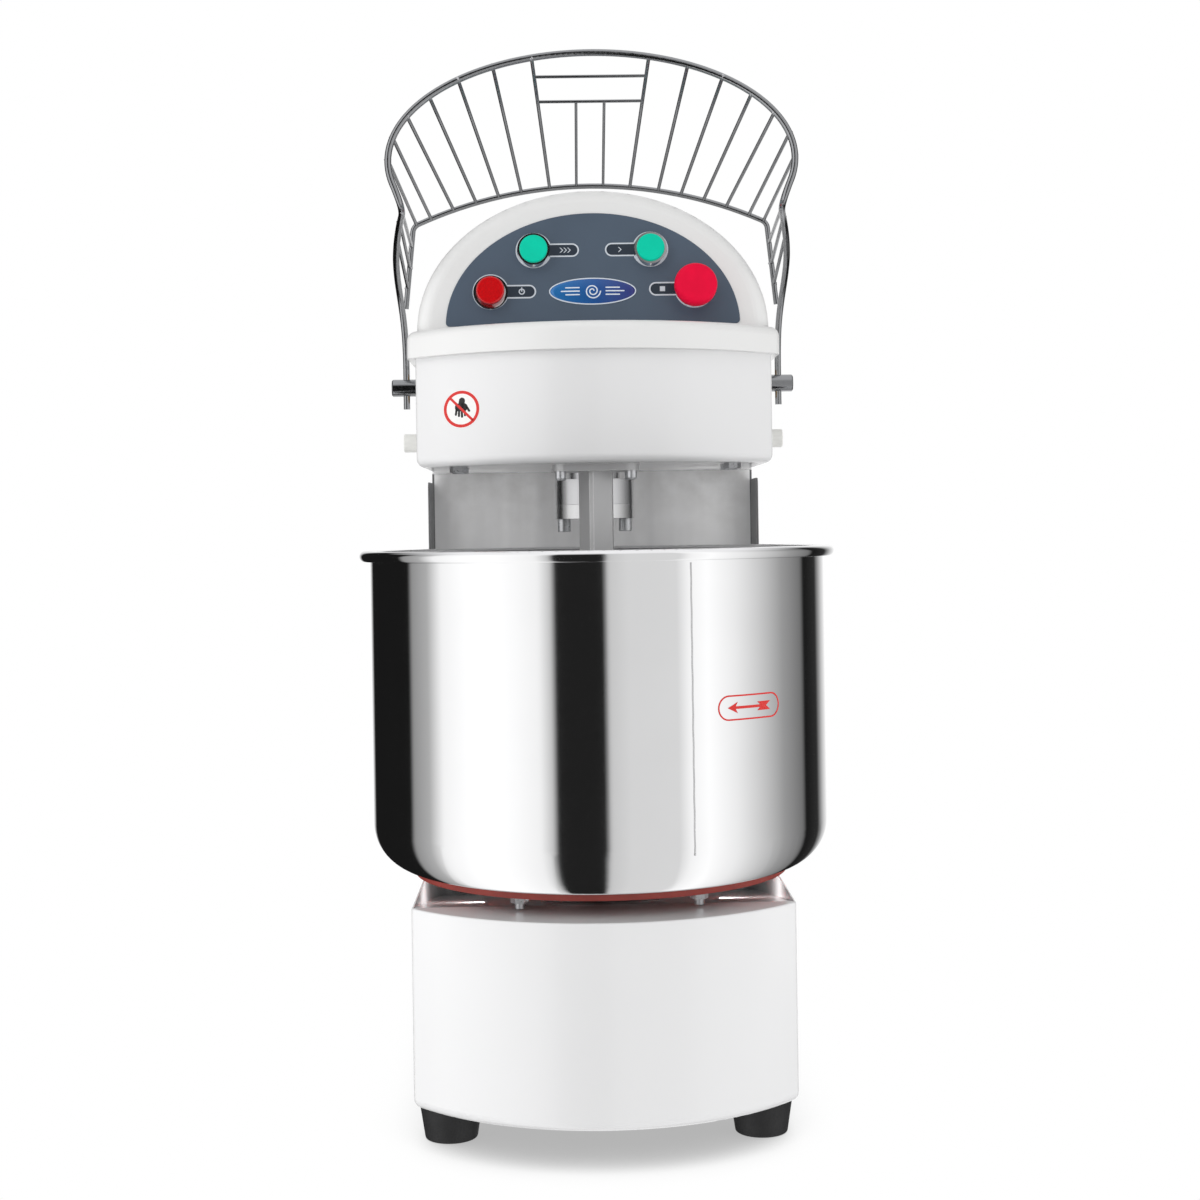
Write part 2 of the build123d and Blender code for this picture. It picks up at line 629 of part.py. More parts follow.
with BuildPart() as half_wire:
    with BuildLine() as wire_path:
        Line(*WIRE_TAIL)
        Spline(WIRE_BEND, tangents=[(0, 0, 1), WIRE_END_HEADING])
        with BuildLine(WIRE_FRONT):
            EllipticalCenterArc((0, 0), WIRE_HALF_W, WIRE_HALF_H, start_angle=WIRE_END_ANGLE,
                                arc_size=90 - WIRE_END_ANGLE)
    with BuildSketch(Plane(origin=wire_path.line @ 0, z_dir=wire_path.line % 0)):
        Circle(WIRE_R)
    sweep()
with BuildPart() as guard_wire:
    add(half_wire.part)
    mirror(about=Plane.YZ)
save(guard_wire.part, "guard_outer_wire")

HOOP_CORNER_X, HOOP_CORNER_REACH, HOOP_APEX_REACH = 165.5, 151.0, 187.0
HOOP_SAG = HOOP_APEX_REACH - HOOP_CORNER_REACH
HOOP_ARC_R = (HOOP_CORNER_X**2 + HOOP_SAG**2) / (2 * HOOP_SAG)


def hoop_point(x):
    """Point on the inner hoop's arc."""
    return guard_point(x, HOOP_APEX_REACH - HOOP_ARC_R + sqrt(HOOP_ARC_R**2 - x**2), 0)


HOOP_CORNER = hoop_point(HOOP_CORNER_X)
HOOP_LEG_END = guard_point(ARM_X - 0.5, 74, 0)

with BuildPart() as half_hoop:
    with BuildLine() as hoop_path:
        Line(HOOP_LEG_END, HOOP_CORNER)
        ThreePointArc(HOOP_CORNER, hoop_point(HOOP_CORNER_X / 2), hoop_point(0))
        fillet(hoop_path.vertices().sort_by(Axis.X)[1:2], 9)
    with BuildSketch(Plane(origin=hoop_path.line @ 0, z_dir=hoop_path.line % 0)):
        Circle(HOOP_R)
    sweep()
with BuildPart() as guard_hoop:
    add(half_hoop.part)
    mirror(about=Plane.YZ)
save(guard_hoop.part, "guard_inner_hoop")


# Bars between outer wire and inner hoop, around a window in the middle.
HOOP_BAR_START, HOOP_BAR_PITCH = 64.0, 21.2
WIRE_BAR_START, WIRE_BAR_PITCH, WIRE_BAR_CLOSING = 85.5, 33.5, 1.55
ARM_BAR_START, ARM_BAR_PITCH = 262.0, 25.5
outer_wire_line = wire_path.wire()


def wire_point(distance):
    """Point of the outer wire at a distance along it from the middle."""
    return tuple(outer_wire_line @ (1 - distance / outer_wire_line.length))


def between(start, end, share):
    """Point part of the way from start to end."""
    return tuple(a + (b - a) * share for a, b in zip(start, end))


window_side = (wire_point(51), hoop_point(37.5))
crossbar_ends = [between(*window_side, share) for share in (0.137, 0.32)]
bar_lines = [window_side]
for index in range(6):
    along_wire = WIRE_BAR_START + WIRE_BAR_PITCH * index - WIRE_BAR_CLOSING * index**2
    along_hoop = HOOP_BAR_START + HOOP_BAR_PITCH * index if index < 5 else HOOP_CORNER_X - 3
    bar_lines.append((wire_point(along_wire), hoop_point(along_hoop)))
for index, share in enumerate((0.25, 0.5, 0.75)):
    bar_lines.append((wire_point(ARM_BAR_START + ARM_BAR_PITCH * index),
                      between(HOOP_CORNER, HOOP_LEG_END, share)))


def mirrored(point):
    """The same point on the other side of the machine."""
    return (-point[0], point[1], point[2])


guard_rods = [rod(start, end, GUARD_BAR_R) for start, end in bar_lines]
guard_rods += [rod(mirrored(start), mirrored(end), GUARD_BAR_R) for start, end in bar_lines]
guard_rods += [rod(mirrored(end), end, CROSSBAR_R) for end in crossbar_ends]
lower_end = crossbar_ends[1]
guard_rods += [rod((x, lower_end[1], lower_end[2]), hoop_point(x), CROSSBAR_R - 0.1) for x in (-12.5, 12.5)]
save_group(guard_rods, "guard_bars")

HINGE_RIGHT = Plane(origin=(0, PIVOT_Y, PIVOT_Z), x_dir=(0, 1, 0), z_dir=(1, 0, 0))
HINGE_LEFT = Plane(origin=(0, PIVOT_Y, PIVOT_Z), x_dir=(0, 1, 0), z_dir=(-1, 0, 0))
PIN_OUT = 187.5
CAM_X, CAM_R, CAM_T = 130.0, 14.0, 8.0
BUSH_INNER_X = 150.0
BUMPER_R, BUMPER_OUT, BUMPER_STEM = 8.5, 17.0, 8.0


def hinge_pin(plane, inner, cam=False):
    """Guard hinge pin with a cross-hole for the wire and, on one side, the interlock's cam."""
    with BuildPart() as pin:
        with BuildSketch(plane.offset(inner)):
            Circle(PIN_R)
        extrude(amount=PIN_OUT - inner)
        chamfer(pin.edges().filter_by(GeomType.CIRCLE), 1)
        with BuildSketch(Plane(origin=plane.from_local_coords((0, 0, ARM_X)))):
            Circle(WIRE_R + 0.02)
        extrude(amount=PIN_R + 1, both=True, mode=Mode.SUBTRACT)
        if cam:
            with BuildSketch(plane.offset(CAM_X)):
                Circle(CAM_R)
                with Locations((0, -CAM_R - 3)):
                    Rectangle(12, 10, mode=Mode.SUBTRACT)
            extrude(amount=CAM_T)
    return pin.part


save_group([hinge_pin(HINGE_RIGHT, CAM_X - 4, cam=True), hinge_pin(HINGE_LEFT, BUSH_INNER_X - 2)],
           "guard_hinge_pins")
save_group([turned(plane, [(BUSH_INNER_X, HALF_W, PIN_HOLE_R), (HALF_W, HALF_W + 1.5, 14)],
                   [(BUSH_INNER_X, HALF_W + 2, PIN_R + RUN)]) for plane in (HINGE_RIGHT, HINGE_LEFT)],
           "guard_bushes")

BUMPERS = [Plane(origin=(0, PIVOT_Y, BUMPER_Z), z_dir=(side, 0, 0)) for side in (-1, 1)]
with BuildPart() as guard_bumpers:
    for plane in BUMPERS:
        with BuildSketch(plane.offset(HALF_W)):
            Circle(BUMPER_R)
        extrude(amount=BUMPER_OUT)
        chamfer(guard_bumpers.faces().sort_by(Axis(plane.origin, plane.z_dir))[-1].edges(), 0.8)
        with BuildSketch(plane.offset(HALF_W)):
            Circle(SHEET_HOLE_R - 0.1)
        extrude(amount=-BUMPER_STEM)
save(guard_bumpers.part, "guard_bumpers")

# Interlock switch under the cam: it stands on the head's bearing plate.
SWITCH_BODY = (18.0, 30.0, 38.0)
PLUNGER_R, PLUNGER_H = 4.0, 11.0
with BuildPart() as guard_switch:
    with BuildSketch(Plane.XY.offset(HEAD_PLATE_TOP)):
        with Locations((CAM_X + CAM_T / 2, PIVOT_Y)):
            Rectangle(*SWITCH_BODY[:2])
    extrude(amount=SWITCH_BODY[2])
    fillet(guard_switch.edges().filter_by(Axis.Z), 3)
    with BuildSketch(Plane.XY.offset(HEAD_PLATE_TOP + SWITCH_BODY[2])):
        with Locations((CAM_X + CAM_T / 2, PIVOT_Y)):
            Circle(PLUNGER_R)
    extrude(amount=PLUNGER_H)
save(guard_switch.part, "guard_switch")


# ---------------------------------------------------------------- bowl and its drive

with BuildPart() as bowl:
    with BuildSketch(Plane.XZ):
        with BuildLine():
            Line((0, BOWL_BOTTOM), (BOWL_R - BOWL_CORNER_R, BOWL_BOTTOM))
            RadiusArc((BOWL_R - BOWL_CORNER_R, BOWL_BOTTOM), (BOWL_R, BOWL_BOTTOM + BOWL_CORNER_R),
                      -BOWL_CORNER_R)
            Polyline((BOWL_R, BOWL_BOTTOM + BOWL_CORNER_R), (BOWL_R, RIM_Z), (BOWL_R - BOWL_T, RIM_Z),
                     (BOWL_R - BOWL_T, BOWL_BOTTOM + BOWL_CORNER_R))
            RadiusArc((BOWL_R - BOWL_T, BOWL_BOTTOM + BOWL_CORNER_R),
                      (BOWL_R - BOWL_CORNER_R, BOWL_BOTTOM + BOWL_T), BOWL_CORNER_R - BOWL_T)
            Polyline((BOWL_R - BOWL_CORNER_R, BOWL_BOTTOM + BOWL_T), (0, BOWL_BOTTOM + BOWL_T),
                     (0, BOWL_BOTTOM))
        make_face()
        rim_middle = (RIM_R + BOWL_R - BOWL_T) / 2
        with Locations((rim_middle, RIM_Z)):
            SlotOverall(RIM_R - BOWL_R + BOWL_T, 2 * RIM_TUBE_R)
    revolve(axis=Axis.Z)
save(bowl.part, "bowl")

STUD_R, NUT_AF_HALF, NUT_H = 4.0, 6.5, 6.2
STUD_LOW = 200.6
TURNTABLE_Z = BOWL_BOTTOM - TURNTABLE_T

with BuildPart() as bowl_turntable:
    with BuildSketch(Plane.XY.offset(TURNTABLE_Z)):
        Circle(TURNTABLE_R)
        with PolarLocations(STUD_CIRCLE_R, 6, STUD_START):
            Circle(STUD_R + 0.3, mode=Mode.SUBTRACT)
    extrude(amount=TURNTABLE_T)
save(bowl_turntable.part, "bowl_turntable")

with BuildPart() as bowl_nuts:
    with BuildSketch(Plane.XY.offset(TURNTABLE_Z - NUT_H)):
        with PolarLocations(STUD_CIRCLE_R, 6, STUD_START):
            RegularPolygon(NUT_AF_HALF, 6, major_radius=False)
    extrude(amount=NUT_H)
    with BuildSketch(Plane.XY.offset(STUD_LOW)):
        with PolarLocations(STUD_CIRCLE_R, 6, STUD_START):
            Circle(STUD_R)
    extrude(amount=BOWL_BOTTOM - STUD_LOW)
save(bowl_nuts.part, "bowl_studs_and_nuts")

SHAFT_HEAD_LOW, SHAFT_HEAD_R = 199.7, 55.0
HOUSING_LOW, HOUSING_TOP = BASE_PLATE_Z + PLATE_T, 197.0
BOWL_BEARING_R, BOWL_BEARING_W = 42.5, 19.0
save(upright(0, 0, [(84, SHAFT_HEAD_LOW, BOWL_SHAFT_R), (SHAFT_HEAD_LOW, TURNTABLE_Z, SHAFT_HEAD_R)]),
     "bowl_shaft")
save(upright(0, 0, [(HOUSING_LOW, HOUSING_LOW + 12, 76), (HOUSING_LOW, HOUSING_TOP, 51)],
             [(HOUSING_LOW, HOUSING_TOP - 5, BOWL_BEARING_R), (HOUSING_TOP - 5, HOUSING_TOP, 26)]),
     "bowl_bearing_housing")


def bearing(x, y, low, high, outer_r, shaft_r):
    """Sealed ball bearing as one ring, with its shields set back, running on the shaft."""
    middle_out = outer_r - 0.25 * (outer_r - shaft_r)
    middle_in = shaft_r + 0.25 * (outer_r - shaft_r)
    with BuildPart() as ring:
        with BuildSketch(Plane.XY.offset(low)):
            with Locations((x, y)):
                Circle(outer_r)
                Circle(shaft_r + RUN, mode=Mode.SUBTRACT)
        extrude(amount=high - low)
        for level, depth in ((low, 1), (high, -1)):
            with BuildSketch(Plane.XY.offset(level)):
                with Locations((x, y)):
                    Circle(middle_out)
                    Circle(middle_in, mode=Mode.SUBTRACT)
            extrude(amount=depth, mode=Mode.SUBTRACT)
    return ring.part


save_group([bearing(0, 0, low, low + BOWL_BEARING_W, BOWL_BEARING_R, BOWL_SHAFT_R) for low in (126, 171)],
           "bowl_bearings")


# ---------------------------------------------------------------- transmission

ROLLER_R, SEAT_R, TOOTH_TIP = 4.2, 4.3, 3.6
LINK_HALF_W, LINK_T, LINK_GAP = 5.0, 1.6, 9.2


def pitch_radius(teeth):
    return CHAIN_PITCH / 2 / sin(pi / teeth)


def sprocket(x, y, level, teeth, bore_r, hub):
    """Chain wheel with roller seats; hub is (start, end, radius) in floor heights."""
    radius = pitch_radius(teeth)
    with BuildPart() as wheel:
        with BuildSketch(Plane.XY.offset(level - SPROCKET_T / 2)):
            Circle(radius + TOOTH_TIP)
            with PolarLocations(radius, teeth):
                Circle(SEAT_R, mode=Mode.SUBTRACT)
            with PolarLocations(radius + SEAT_R, teeth):
                Circle(SEAT_R, mode=Mode.SUBTRACT)
            if teeth > 30:
                with PolarLocations(radius * 0.62, 6):
                    Circle(radius * 0.16, mode=Mode.SUBTRACT)
        extrude(amount=SPROCKET_T)
        with BuildSketch(Plane.XY.offset(hub[0])):
            Circle(hub[2])
        extrude(amount=hub[1] - hub[0])
        with BuildSketch(Plane.XY.offset(min(hub[0], level - SPROCKET_T))):
            Circle(bore_r)
        extrude(amount=60, mode=Mode.SUBTRACT)
    return wheel.part.moved(Location((x, y, 0)))


def loop_face(start, start_r, end, end_r):
    """Face inside a band pulled tight around two circles."""
    with BuildSketch() as outline:
        with Locations(start):
            Circle(start_r)
        with Locations(end):
            Circle(end_r)
        make_hull()
    return outline.sketch


def teeth_reach(radius):
    """Distance from the point of contact beyond which a roller is clear of the turning teeth."""
    return sqrt(16.5 * radius + 80)


def chain(level, start, start_teeth, end, end_teeth):
    """Roller chain: two bands of link plates, joined by rollers on the straight strands."""
    radius_a, radius_b = pitch_radius(start_teeth), pitch_radius(end_teeth)
    outer = loop_face(start, radius_a + LINK_HALF_W, end, radius_b + LINK_HALF_W)
    inner = loop_face(start, radius_a - LINK_HALF_W, end, radius_b - LINK_HALF_W)
    apart = Vector(*end) - Vector(*start)
    lean = asin((radius_a - radius_b) / apart.length)
    rollers = []
    for side in (-1, 1):
        turn = atan2(apart.Y, apart.X) + side * (pi / 2 - lean)
        normal = Vector(cos(turn), sin(turn))
        along = Vector(*end) + normal * radius_b - (Vector(*start) + normal * radius_a)
        first_at, last_at = teeth_reach(radius_a), along.length - teeth_reach(radius_b)
        count = int((last_at - first_at) / CHAIN_PITCH) + 1
        rollers += [Vector(*start) + normal * radius_a
                    + along.normalized() * (first_at + CHAIN_PITCH * index) for index in range(count)]
    with BuildPart() as links:
        for low in (level - LINK_GAP / 2 - LINK_T, level + LINK_GAP / 2):
            with BuildSketch(Plane.XY.offset(low)):
                add(outer)
                add(inner, mode=Mode.SUBTRACT)
            extrude(amount=LINK_T)
        with BuildSketch(Plane.XY.offset(level - LINK_GAP / 2)):
            with Locations(*[(spot.X, spot.Y) for spot in rollers]):
                Circle(ROLLER_R)
        extrude(amount=LINK_GAP)
    return links.part


def v_pulley(y, radius, bore_r, spokes):
    """Pulley for two V-belts."""
    half = BELT_GAP
    with BuildPart() as pulley:
        with BuildSketch(Plane.XY.offset(LEVEL_BELTS - half)):
            Circle(radius + 2.8)
            if spokes:
                with PolarLocations(radius * 0.58, spokes):
                    Circle(radius * 0.2, mode=Mode.SUBTRACT)
        extrude(amount=2 * half)
        with BuildSketch(Plane.XZ):
            for middle in (LEVEL_BELTS - BELT_GAP / 2, LEVEL_BELTS + BELT_GAP / 2):
                with BuildLine():
                    Polyline((radius + 4, middle - 6), (radius + 4, middle + 6), (radius - 8, middle + 3),
                             (radius - 8, middle - 3), close=True)
                make_face()
        revolve(axis=Axis.Z, mode=Mode.SUBTRACT)
        with BuildSketch(Plane.XY.offset(LEVEL_BELTS - half)):
            Circle(bore_r)
        extrude(amount=2 * half, mode=Mode.SUBTRACT)
    return pulley.part.moved(Location((0, y, 0)))


save(sprocket(0, 0, LEVEL_BOWL_CHAIN, TEETH_BOWL, BOWL_SHAFT_R, (97, 110, 33)), "bowl_sprocket")
save(upright(LAY_X, LAY_Y, [(54, 140, SHAFT_R)]), "lay_shaft")
save_group([
    sprocket(LAY_X, LAY_Y, LEVEL_LAY_CHAIN, TEETH_LAY_IN, SHAFT_R, (56, 70, 22)),
    sprocket(LAY_X, LAY_Y, LEVEL_BOWL_CHAIN, TEETH_LAY_OUT, SHAFT_R, (97, 108, 18)),
], "lay_shaft_sprockets")

UNIT_FLANGE_R, UNIT_FLANGE_T, UNIT_BOSS_R, UNIT_H = 44.0, 9.0, 28.0, 16.0


def bearing_unit(x, y, low):
    """Flanged bearing unit for the 25 mm shafts."""
    return upright(x, y, [(low, low + UNIT_FLANGE_T, UNIT_FLANGE_R), (low, low + UNIT_H, UNIT_BOSS_R)],
                   [(low, low + UNIT_H, SHAFT_R + RUN)])


save_group([bearing_unit(LAY_X, LAY_Y, HOUSING_LOW), bearing_unit(0, SHAFT_Y, HOUSING_LOW),
            upright(0, SHAFT_Y, [(HEAD_PLATE_TOP, HEAD_PLATE_TOP + UNIT_FLANGE_T, UNIT_FLANGE_R)],
                    [(HEAD_PLATE_TOP, HEAD_PLATE_TOP + UNIT_FLANGE_T, SHAFT_R + RUN)])],
           "shaft_bearing_units")
save(upright(0, SHAFT_Y, [(54, 658, SHAFT_R)]), "main_shaft")
save(v_pulley(SHAFT_Y, PULLEY_SHAFT_R, SHAFT_R, 6), "main_shaft_pulley")
save_group([
    sprocket(0, SHAFT_Y, LEVEL_LAY_CHAIN, TEETH_SHAFT_LOW, SHAFT_R, (56, 70, 18)),
    sprocket(0, SHAFT_Y, LEVEL_HEAD_CHAIN, TEETH_SHAFT_TOP, SHAFT_R, (630, 645, 24)),
], "main_shaft_sprockets")

save(chain(LEVEL_HEAD_CHAIN, (0, SPIRAL_Y), TEETH_SPIRAL, (0, SHAFT_Y), TEETH_SHAFT_TOP), "spiral_chain")
save(chain(LEVEL_LAY_CHAIN, (LAY_X, LAY_Y), TEETH_LAY_IN, (0, SHAFT_Y), TEETH_SHAFT_LOW), "lay_chain")
save(chain(LEVEL_BOWL_CHAIN, (0, 0), TEETH_BOWL, (LAY_X, LAY_Y), TEETH_LAY_OUT), "bowl_chain")

BELT_OUT, BELT_IN, BELT_T = 3.0, 3.5, 7.0     # outside and inside the pitch line, and thickness
belt_outer = loop_face((0, MOTOR_Y), PULLEY_MOTOR_R + BELT_OUT, (0, SHAFT_Y), PULLEY_SHAFT_R + BELT_OUT)
belt_inner = loop_face((0, MOTOR_Y), PULLEY_MOTOR_R - BELT_IN, (0, SHAFT_Y), PULLEY_SHAFT_R - BELT_IN)
with BuildPart() as drive_belts:
    for middle in (LEVEL_BELTS - BELT_GAP / 2, LEVEL_BELTS + BELT_GAP / 2):
        with BuildSketch(Plane.XY.offset(middle - BELT_T / 2)):
            add(belt_outer)
            add(belt_inner, mode=Mode.SUBTRACT)
        extrude(amount=BELT_T)
save(drive_belts.part, "drive_belts")

# Motor, hung under its plate in the column, with the shaft upwards.
MOTOR_TOP = 545.0
MOTOR_LOW = 300.0
MOTOR_R = 66.0
ROTOR_R = 44.0
MOTOR_SHAFT_R = 9.5
MOTOR_PLATE_T = 8.0
MOTOR_FLANGE_T = 22.0
ROTOR_LOW, ROTOR_HIGH = 336.0, 494.0

with BuildPart() as motor_housing:
    with BuildSketch(Plane.XY.offset(MOTOR_LOW)):
        Circle(MOTOR_R)
        with PolarLocations(MOTOR_R + 4, 24):
            Rectangle(16, 2.5)
    extrude(amount=MOTOR_TOP - MOTOR_LOW - MOTOR_FLANGE_T)
    with BuildSketch(Plane.XY.offset(MOTOR_TOP - MOTOR_FLANGE_T)):
        Circle(MOTOR_R + 10)
    extrude(amount=MOTOR_FLANGE_T)
    with BuildSketch(Plane.XY.offset(400)):
        with Locations((-MOTOR_R - 14, 0)):
            RectangleRounded(56, 70, 4)
    extrude(amount=70)
    for low, high, radius in ((MOTOR_LOW + 10, MOTOR_TOP, MOTOR_SHAFT_R + RUN),
                              (ROTOR_LOW - 6, ROTOR_HIGH + 6, ROTOR_R + 0.6)):
        with BuildSketch(Plane.XY.offset(low)):
            Circle(radius)
        extrude(amount=high - low, mode=Mode.SUBTRACT)
save(motor_housing.part.moved(Location((0, MOTOR_Y, 0))), "motor_housing")
save(upright(0, MOTOR_Y, [(MOTOR_LOW + 11, 625, MOTOR_SHAFT_R), (ROTOR_LOW, ROTOR_HIGH, ROTOR_R)]),
     "motor_rotor")
save(v_pulley(MOTOR_Y, PULLEY_MOTOR_R, MOTOR_SHAFT_R, 0), "motor_pulley")

with BuildPart() as motor_plate:
    with BuildSketch(Plane.XY.offset(MOTOR_TOP)):
        with Locations((0, MOTOR_Y - 2)):
            Rectangle(2 * (HALF_W - SHEET), 160)
        with Locations((0, MOTOR_Y)):
            SlotOverall(60, 40, rotation=90, mode=Mode.SUBTRACT)
    extrude(amount=MOTOR_PLATE_T)
save(motor_plate.part, "motor_plate")

# Spiral spindle in its housing, and the spiral bolted below it.
SPINDLE_R = 17.5
SPINDLE_BEARING_R = 36.0
SPINDLE_FLANGE_LOW, SPINDLE_FLANGE_HIGH = 534.0, 557.6
save(upright(0, SPIRAL_Y, [(SPINDLE_FLANGE_LOW, SPINDLE_FLANGE_HIGH, SPIRAL_FLANGE_R),
                           (SPINDLE_FLANGE_HIGH, 578, 24), (578, 655, SPINDLE_R)]), "spiral_spindle")
save(upright(0, SPIRAL_Y, [(HEAD_PLATE_TOP, HEAD_PLATE_TOP + 10, 64), (HEAD_PLATE_TOP, 633, 45)],
             [(HEAD_PLATE_TOP, 630, SPINDLE_BEARING_R), (630, 633, 22)]), "spindle_housing")
save_group([bearing(0, SPIRAL_Y, low, low + 17, SPINDLE_BEARING_R, SPINDLE_R) for low in (584, 612)],
           "spindle_bearings")
save(sprocket(0, SPIRAL_Y, LEVEL_HEAD_CHAIN, TEETH_SPIRAL, SPINDLE_R, (640, 653, 28)), "spindle_sprocket")

SPIRAL_FLANGE_LOW = 521.0
ROD_STRAIGHT_LOW = 492.0
SPIRAL_POINTS = 34


def spiral_point(share):
    """Point of the spiral's centre line: it widens over the first quarter, then keeps its radius."""
    widening = min(1.0, share / 0.28)
    radius = SPIRAL_PATH_R * (3 * widening**2 - 2 * widening**3)
    angle = radians(-90) + 2 * pi * SPIRAL_TURNS * share
    height = ROD_STRAIGHT_LOW - (ROD_STRAIGHT_LOW - SPIRAL_LOW) * share
    return (radius * cos(angle), SPIRAL_Y + radius * sin(angle), height)


with BuildPart() as spiral_hook:
    with BuildLine() as hook_path:
        Spline([spiral_point(index / SPIRAL_POINTS) for index in range(SPIRAL_POINTS + 1)])
    with BuildSketch(Plane(origin=hook_path.line @ 0, z_dir=hook_path.line % 0)):
        Circle(SPIRAL_ROD_R)
    sweep()
    with Locations(hook_path.line @ 0, hook_path.line @ 1):
        Sphere(SPIRAL_ROD_R)
    with BuildSketch(Plane(origin=(0, SPIRAL_Y, ROD_STRAIGHT_LOW))):
        Circle(SPIRAL_ROD_R)
    extrude(amount=SPIRAL_FLANGE_LOW - ROD_STRAIGHT_LOW)
    with BuildSketch(Plane(origin=(0, SPIRAL_Y, SPIRAL_FLANGE_LOW))):
        Circle(SPIRAL_FLANGE_R)
        with PolarLocations(SPIRAL_SCREW_R, 4):
            Circle(SCREW_R, mode=Mode.SUBTRACT)
    extrude(amount=SPINDLE_FLANGE_LOW - SPIRAL_FLANGE_LOW)
save(spiral_hook.part, "spiral_hook")

spiral_screw = screw(below(0, 0, SPIRAL_FLANGE_LOW), 6, 12, SCREW_R, SPINDLE_FLANGE_LOW - SPIRAL_FLANGE_LOW,
                     hexagon=False)
with BuildPart() as spiral_screws:
    with Locations((0, SPIRAL_Y)):
        with PolarLocations(SPIRAL_SCREW_R, 4):
            add(spiral_screw)
save(spiral_screws.part, "spiral_screws")

# Breaker bar: a square bar turned on its axis, welded under a bolted flange.
BAR_FLANGE = (76.0, 58.0, 12.0)     # width, depth and corner radius
BAR_FLANGE_T = 6.5
BAR_FLANGE_LOW = HEAD_BOTTOM - BAR_FLANGE_T
with BuildPart() as breaker_bar:
    with BuildSketch(Plane.XY.offset(BAR_LOW)):
        with Locations(Location((0, BAR_Y, 0), (0, 0, BAR_TURN))):
            Rectangle(BAR_SIDE, BAR_SIDE)
    extrude(amount=BAR_FLANGE_LOW - BAR_LOW)
    chamfer(breaker_bar.edges().filter_by(Axis.Z), 2.5)
    fillet(breaker_bar.faces().sort_by(Axis.Z)[0].edges(), 2)
    with BuildSketch(Plane.XY.offset(BAR_FLANGE_LOW)):
        with Locations((0, BAR_Y)):
            RectangleRounded(*BAR_FLANGE)
            with GridLocations(2 * BAR_SCREW_X, 2 * BAR_SCREW_Y, 2, 2):
                Circle(SCREW_HOLE_R, mode=Mode.SUBTRACT)
    extrude(amount=BAR_FLANGE_T)
save(breaker_bar.part, "breaker_bar")

bar_screw = screw(below(0, 0, BAR_FLANGE_LOW), 4.6, 7, SCREW_R, BAR_FLANGE_T + SHEET + PLATE_T,
                  hexagon=False)
with BuildPart() as breaker_bar_screws:
    with Locations((0, BAR_Y)):
        with GridLocations(2 * BAR_SCREW_X, 2 * BAR_SCREW_Y, 2, 2):
            add(bar_screw)
save(breaker_bar_screws.part, "breaker_bar_screws")


# ---------------------------------------------------------------- electrics

with BuildPart() as electrics_plate:
    with BuildSketch(Plane.YZ.offset(HALF_W - SHEET - 3)):
        with Locations((290, 400)):
            RectangleRounded(110, 200, 5)
    extrude(amount=3)
save(electrics_plate.part, "electrics_plate")

with BuildPart() as contactors:
    with BuildSketch(Plane.YZ.offset(HALF_W - SHEET - 3)):
        with Locations(*[(y, z) for y in (262, 318) for z in (350, 440)]):
            RectangleRounded(45, 74, 2)
    extrude(amount=-50)
    with BuildSketch(Plane.YZ.offset(HALF_W - SHEET - 53)):
        with Locations(*[(y, z) for y in (262, 318) for z in (350, 440)]):
            RectangleRounded(36, 40, 2)
    extrude(amount=-20)
save(contactors.part, "contactors")

GLAND = Plane(origin=(CORD_X, REAR_Y, CORD_Z), z_dir=BACKWARDS)
save(turned(GLAND, [(-6, REAR_T, GLAND_R), (-6, -2, 12), (REAR_T, 7, 12), (7, 19, 10)],
            [(-6, 19, CORD_R + 0.05)]), "cable_gland")

# The cord leaves the gland, turns down behind the machine and runs along the floor to its plug.
CORD_DROP_R, CORD_FLOOR_R = 20.0, 30.0
FLOOR_TURN_Z = CORD_FLOOR_Z + CORD_FLOOR_R
PLUG_X = 60.0
with BuildPart() as power_cord:
    with BuildLine() as cord_path:
        Line((CORD_X, REAR_Y - 10, CORD_Z), (CORD_X, CORD_Y - CORD_DROP_R, CORD_Z))
        TangentArc((CORD_X, CORD_Y - CORD_DROP_R, CORD_Z), (CORD_X, CORD_Y, CORD_Z - CORD_DROP_R),
                   tangent=BACKWARDS)
        Line((CORD_X, CORD_Y, CORD_Z - CORD_DROP_R), (CORD_X, CORD_Y, FLOOR_TURN_Z))
        TangentArc((CORD_X, CORD_Y, FLOOR_TURN_Z), (CORD_X + CORD_FLOOR_R, CORD_Y, CORD_FLOOR_Z),
                   tangent=DOWN)
        Line((CORD_X + CORD_FLOOR_R, CORD_Y, CORD_FLOOR_Z), (PLUG_X, CORD_Y, CORD_FLOOR_Z))
    with BuildSketch(Plane(origin=cord_path.line @ 0, z_dir=cord_path.line % 0)):
        Circle(CORD_R)
    sweep()
save(power_cord.part, "power_cord")

PLUG = Plane(origin=(PLUG_X, CORD_Y, CORD_FLOOR_Z), x_dir=(0, 1, 0), z_dir=(1, 0, 0))
with BuildPart() as mains_plug:
    with BuildSketch(PLUG):
        Circle(5.5)
    with BuildSketch(PLUG.offset(34)):
        with Locations((0, 13)):
            Circle(PLUG_R)
    loft()
    with BuildSketch(PLUG.offset(34)):
        with Locations((0, 13)):
            Circle(PLUG_R)
    extrude(amount=14)
    with BuildSketch(PLUG.offset(48)):
        with Locations((-9.5, 13), (9.5, 13)):
            Circle(2.4)
    extrude(amount=19)
save(mains_plug.part, "mains_plug")
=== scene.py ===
"""Looks of a spiral dough mixer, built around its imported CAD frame.

Everything is in metres, +Z up, with the front of the machine toward -Y. The CAD nodes keep their
shapes and get procedural materials. Prints, stickers, the bowl's weld line and the rating plate are
thin closed meshes, made flat and then laid on the surface that carries them. The badge's dome and
the guard's weld beads are meshes of their own.
"""

import json
import math

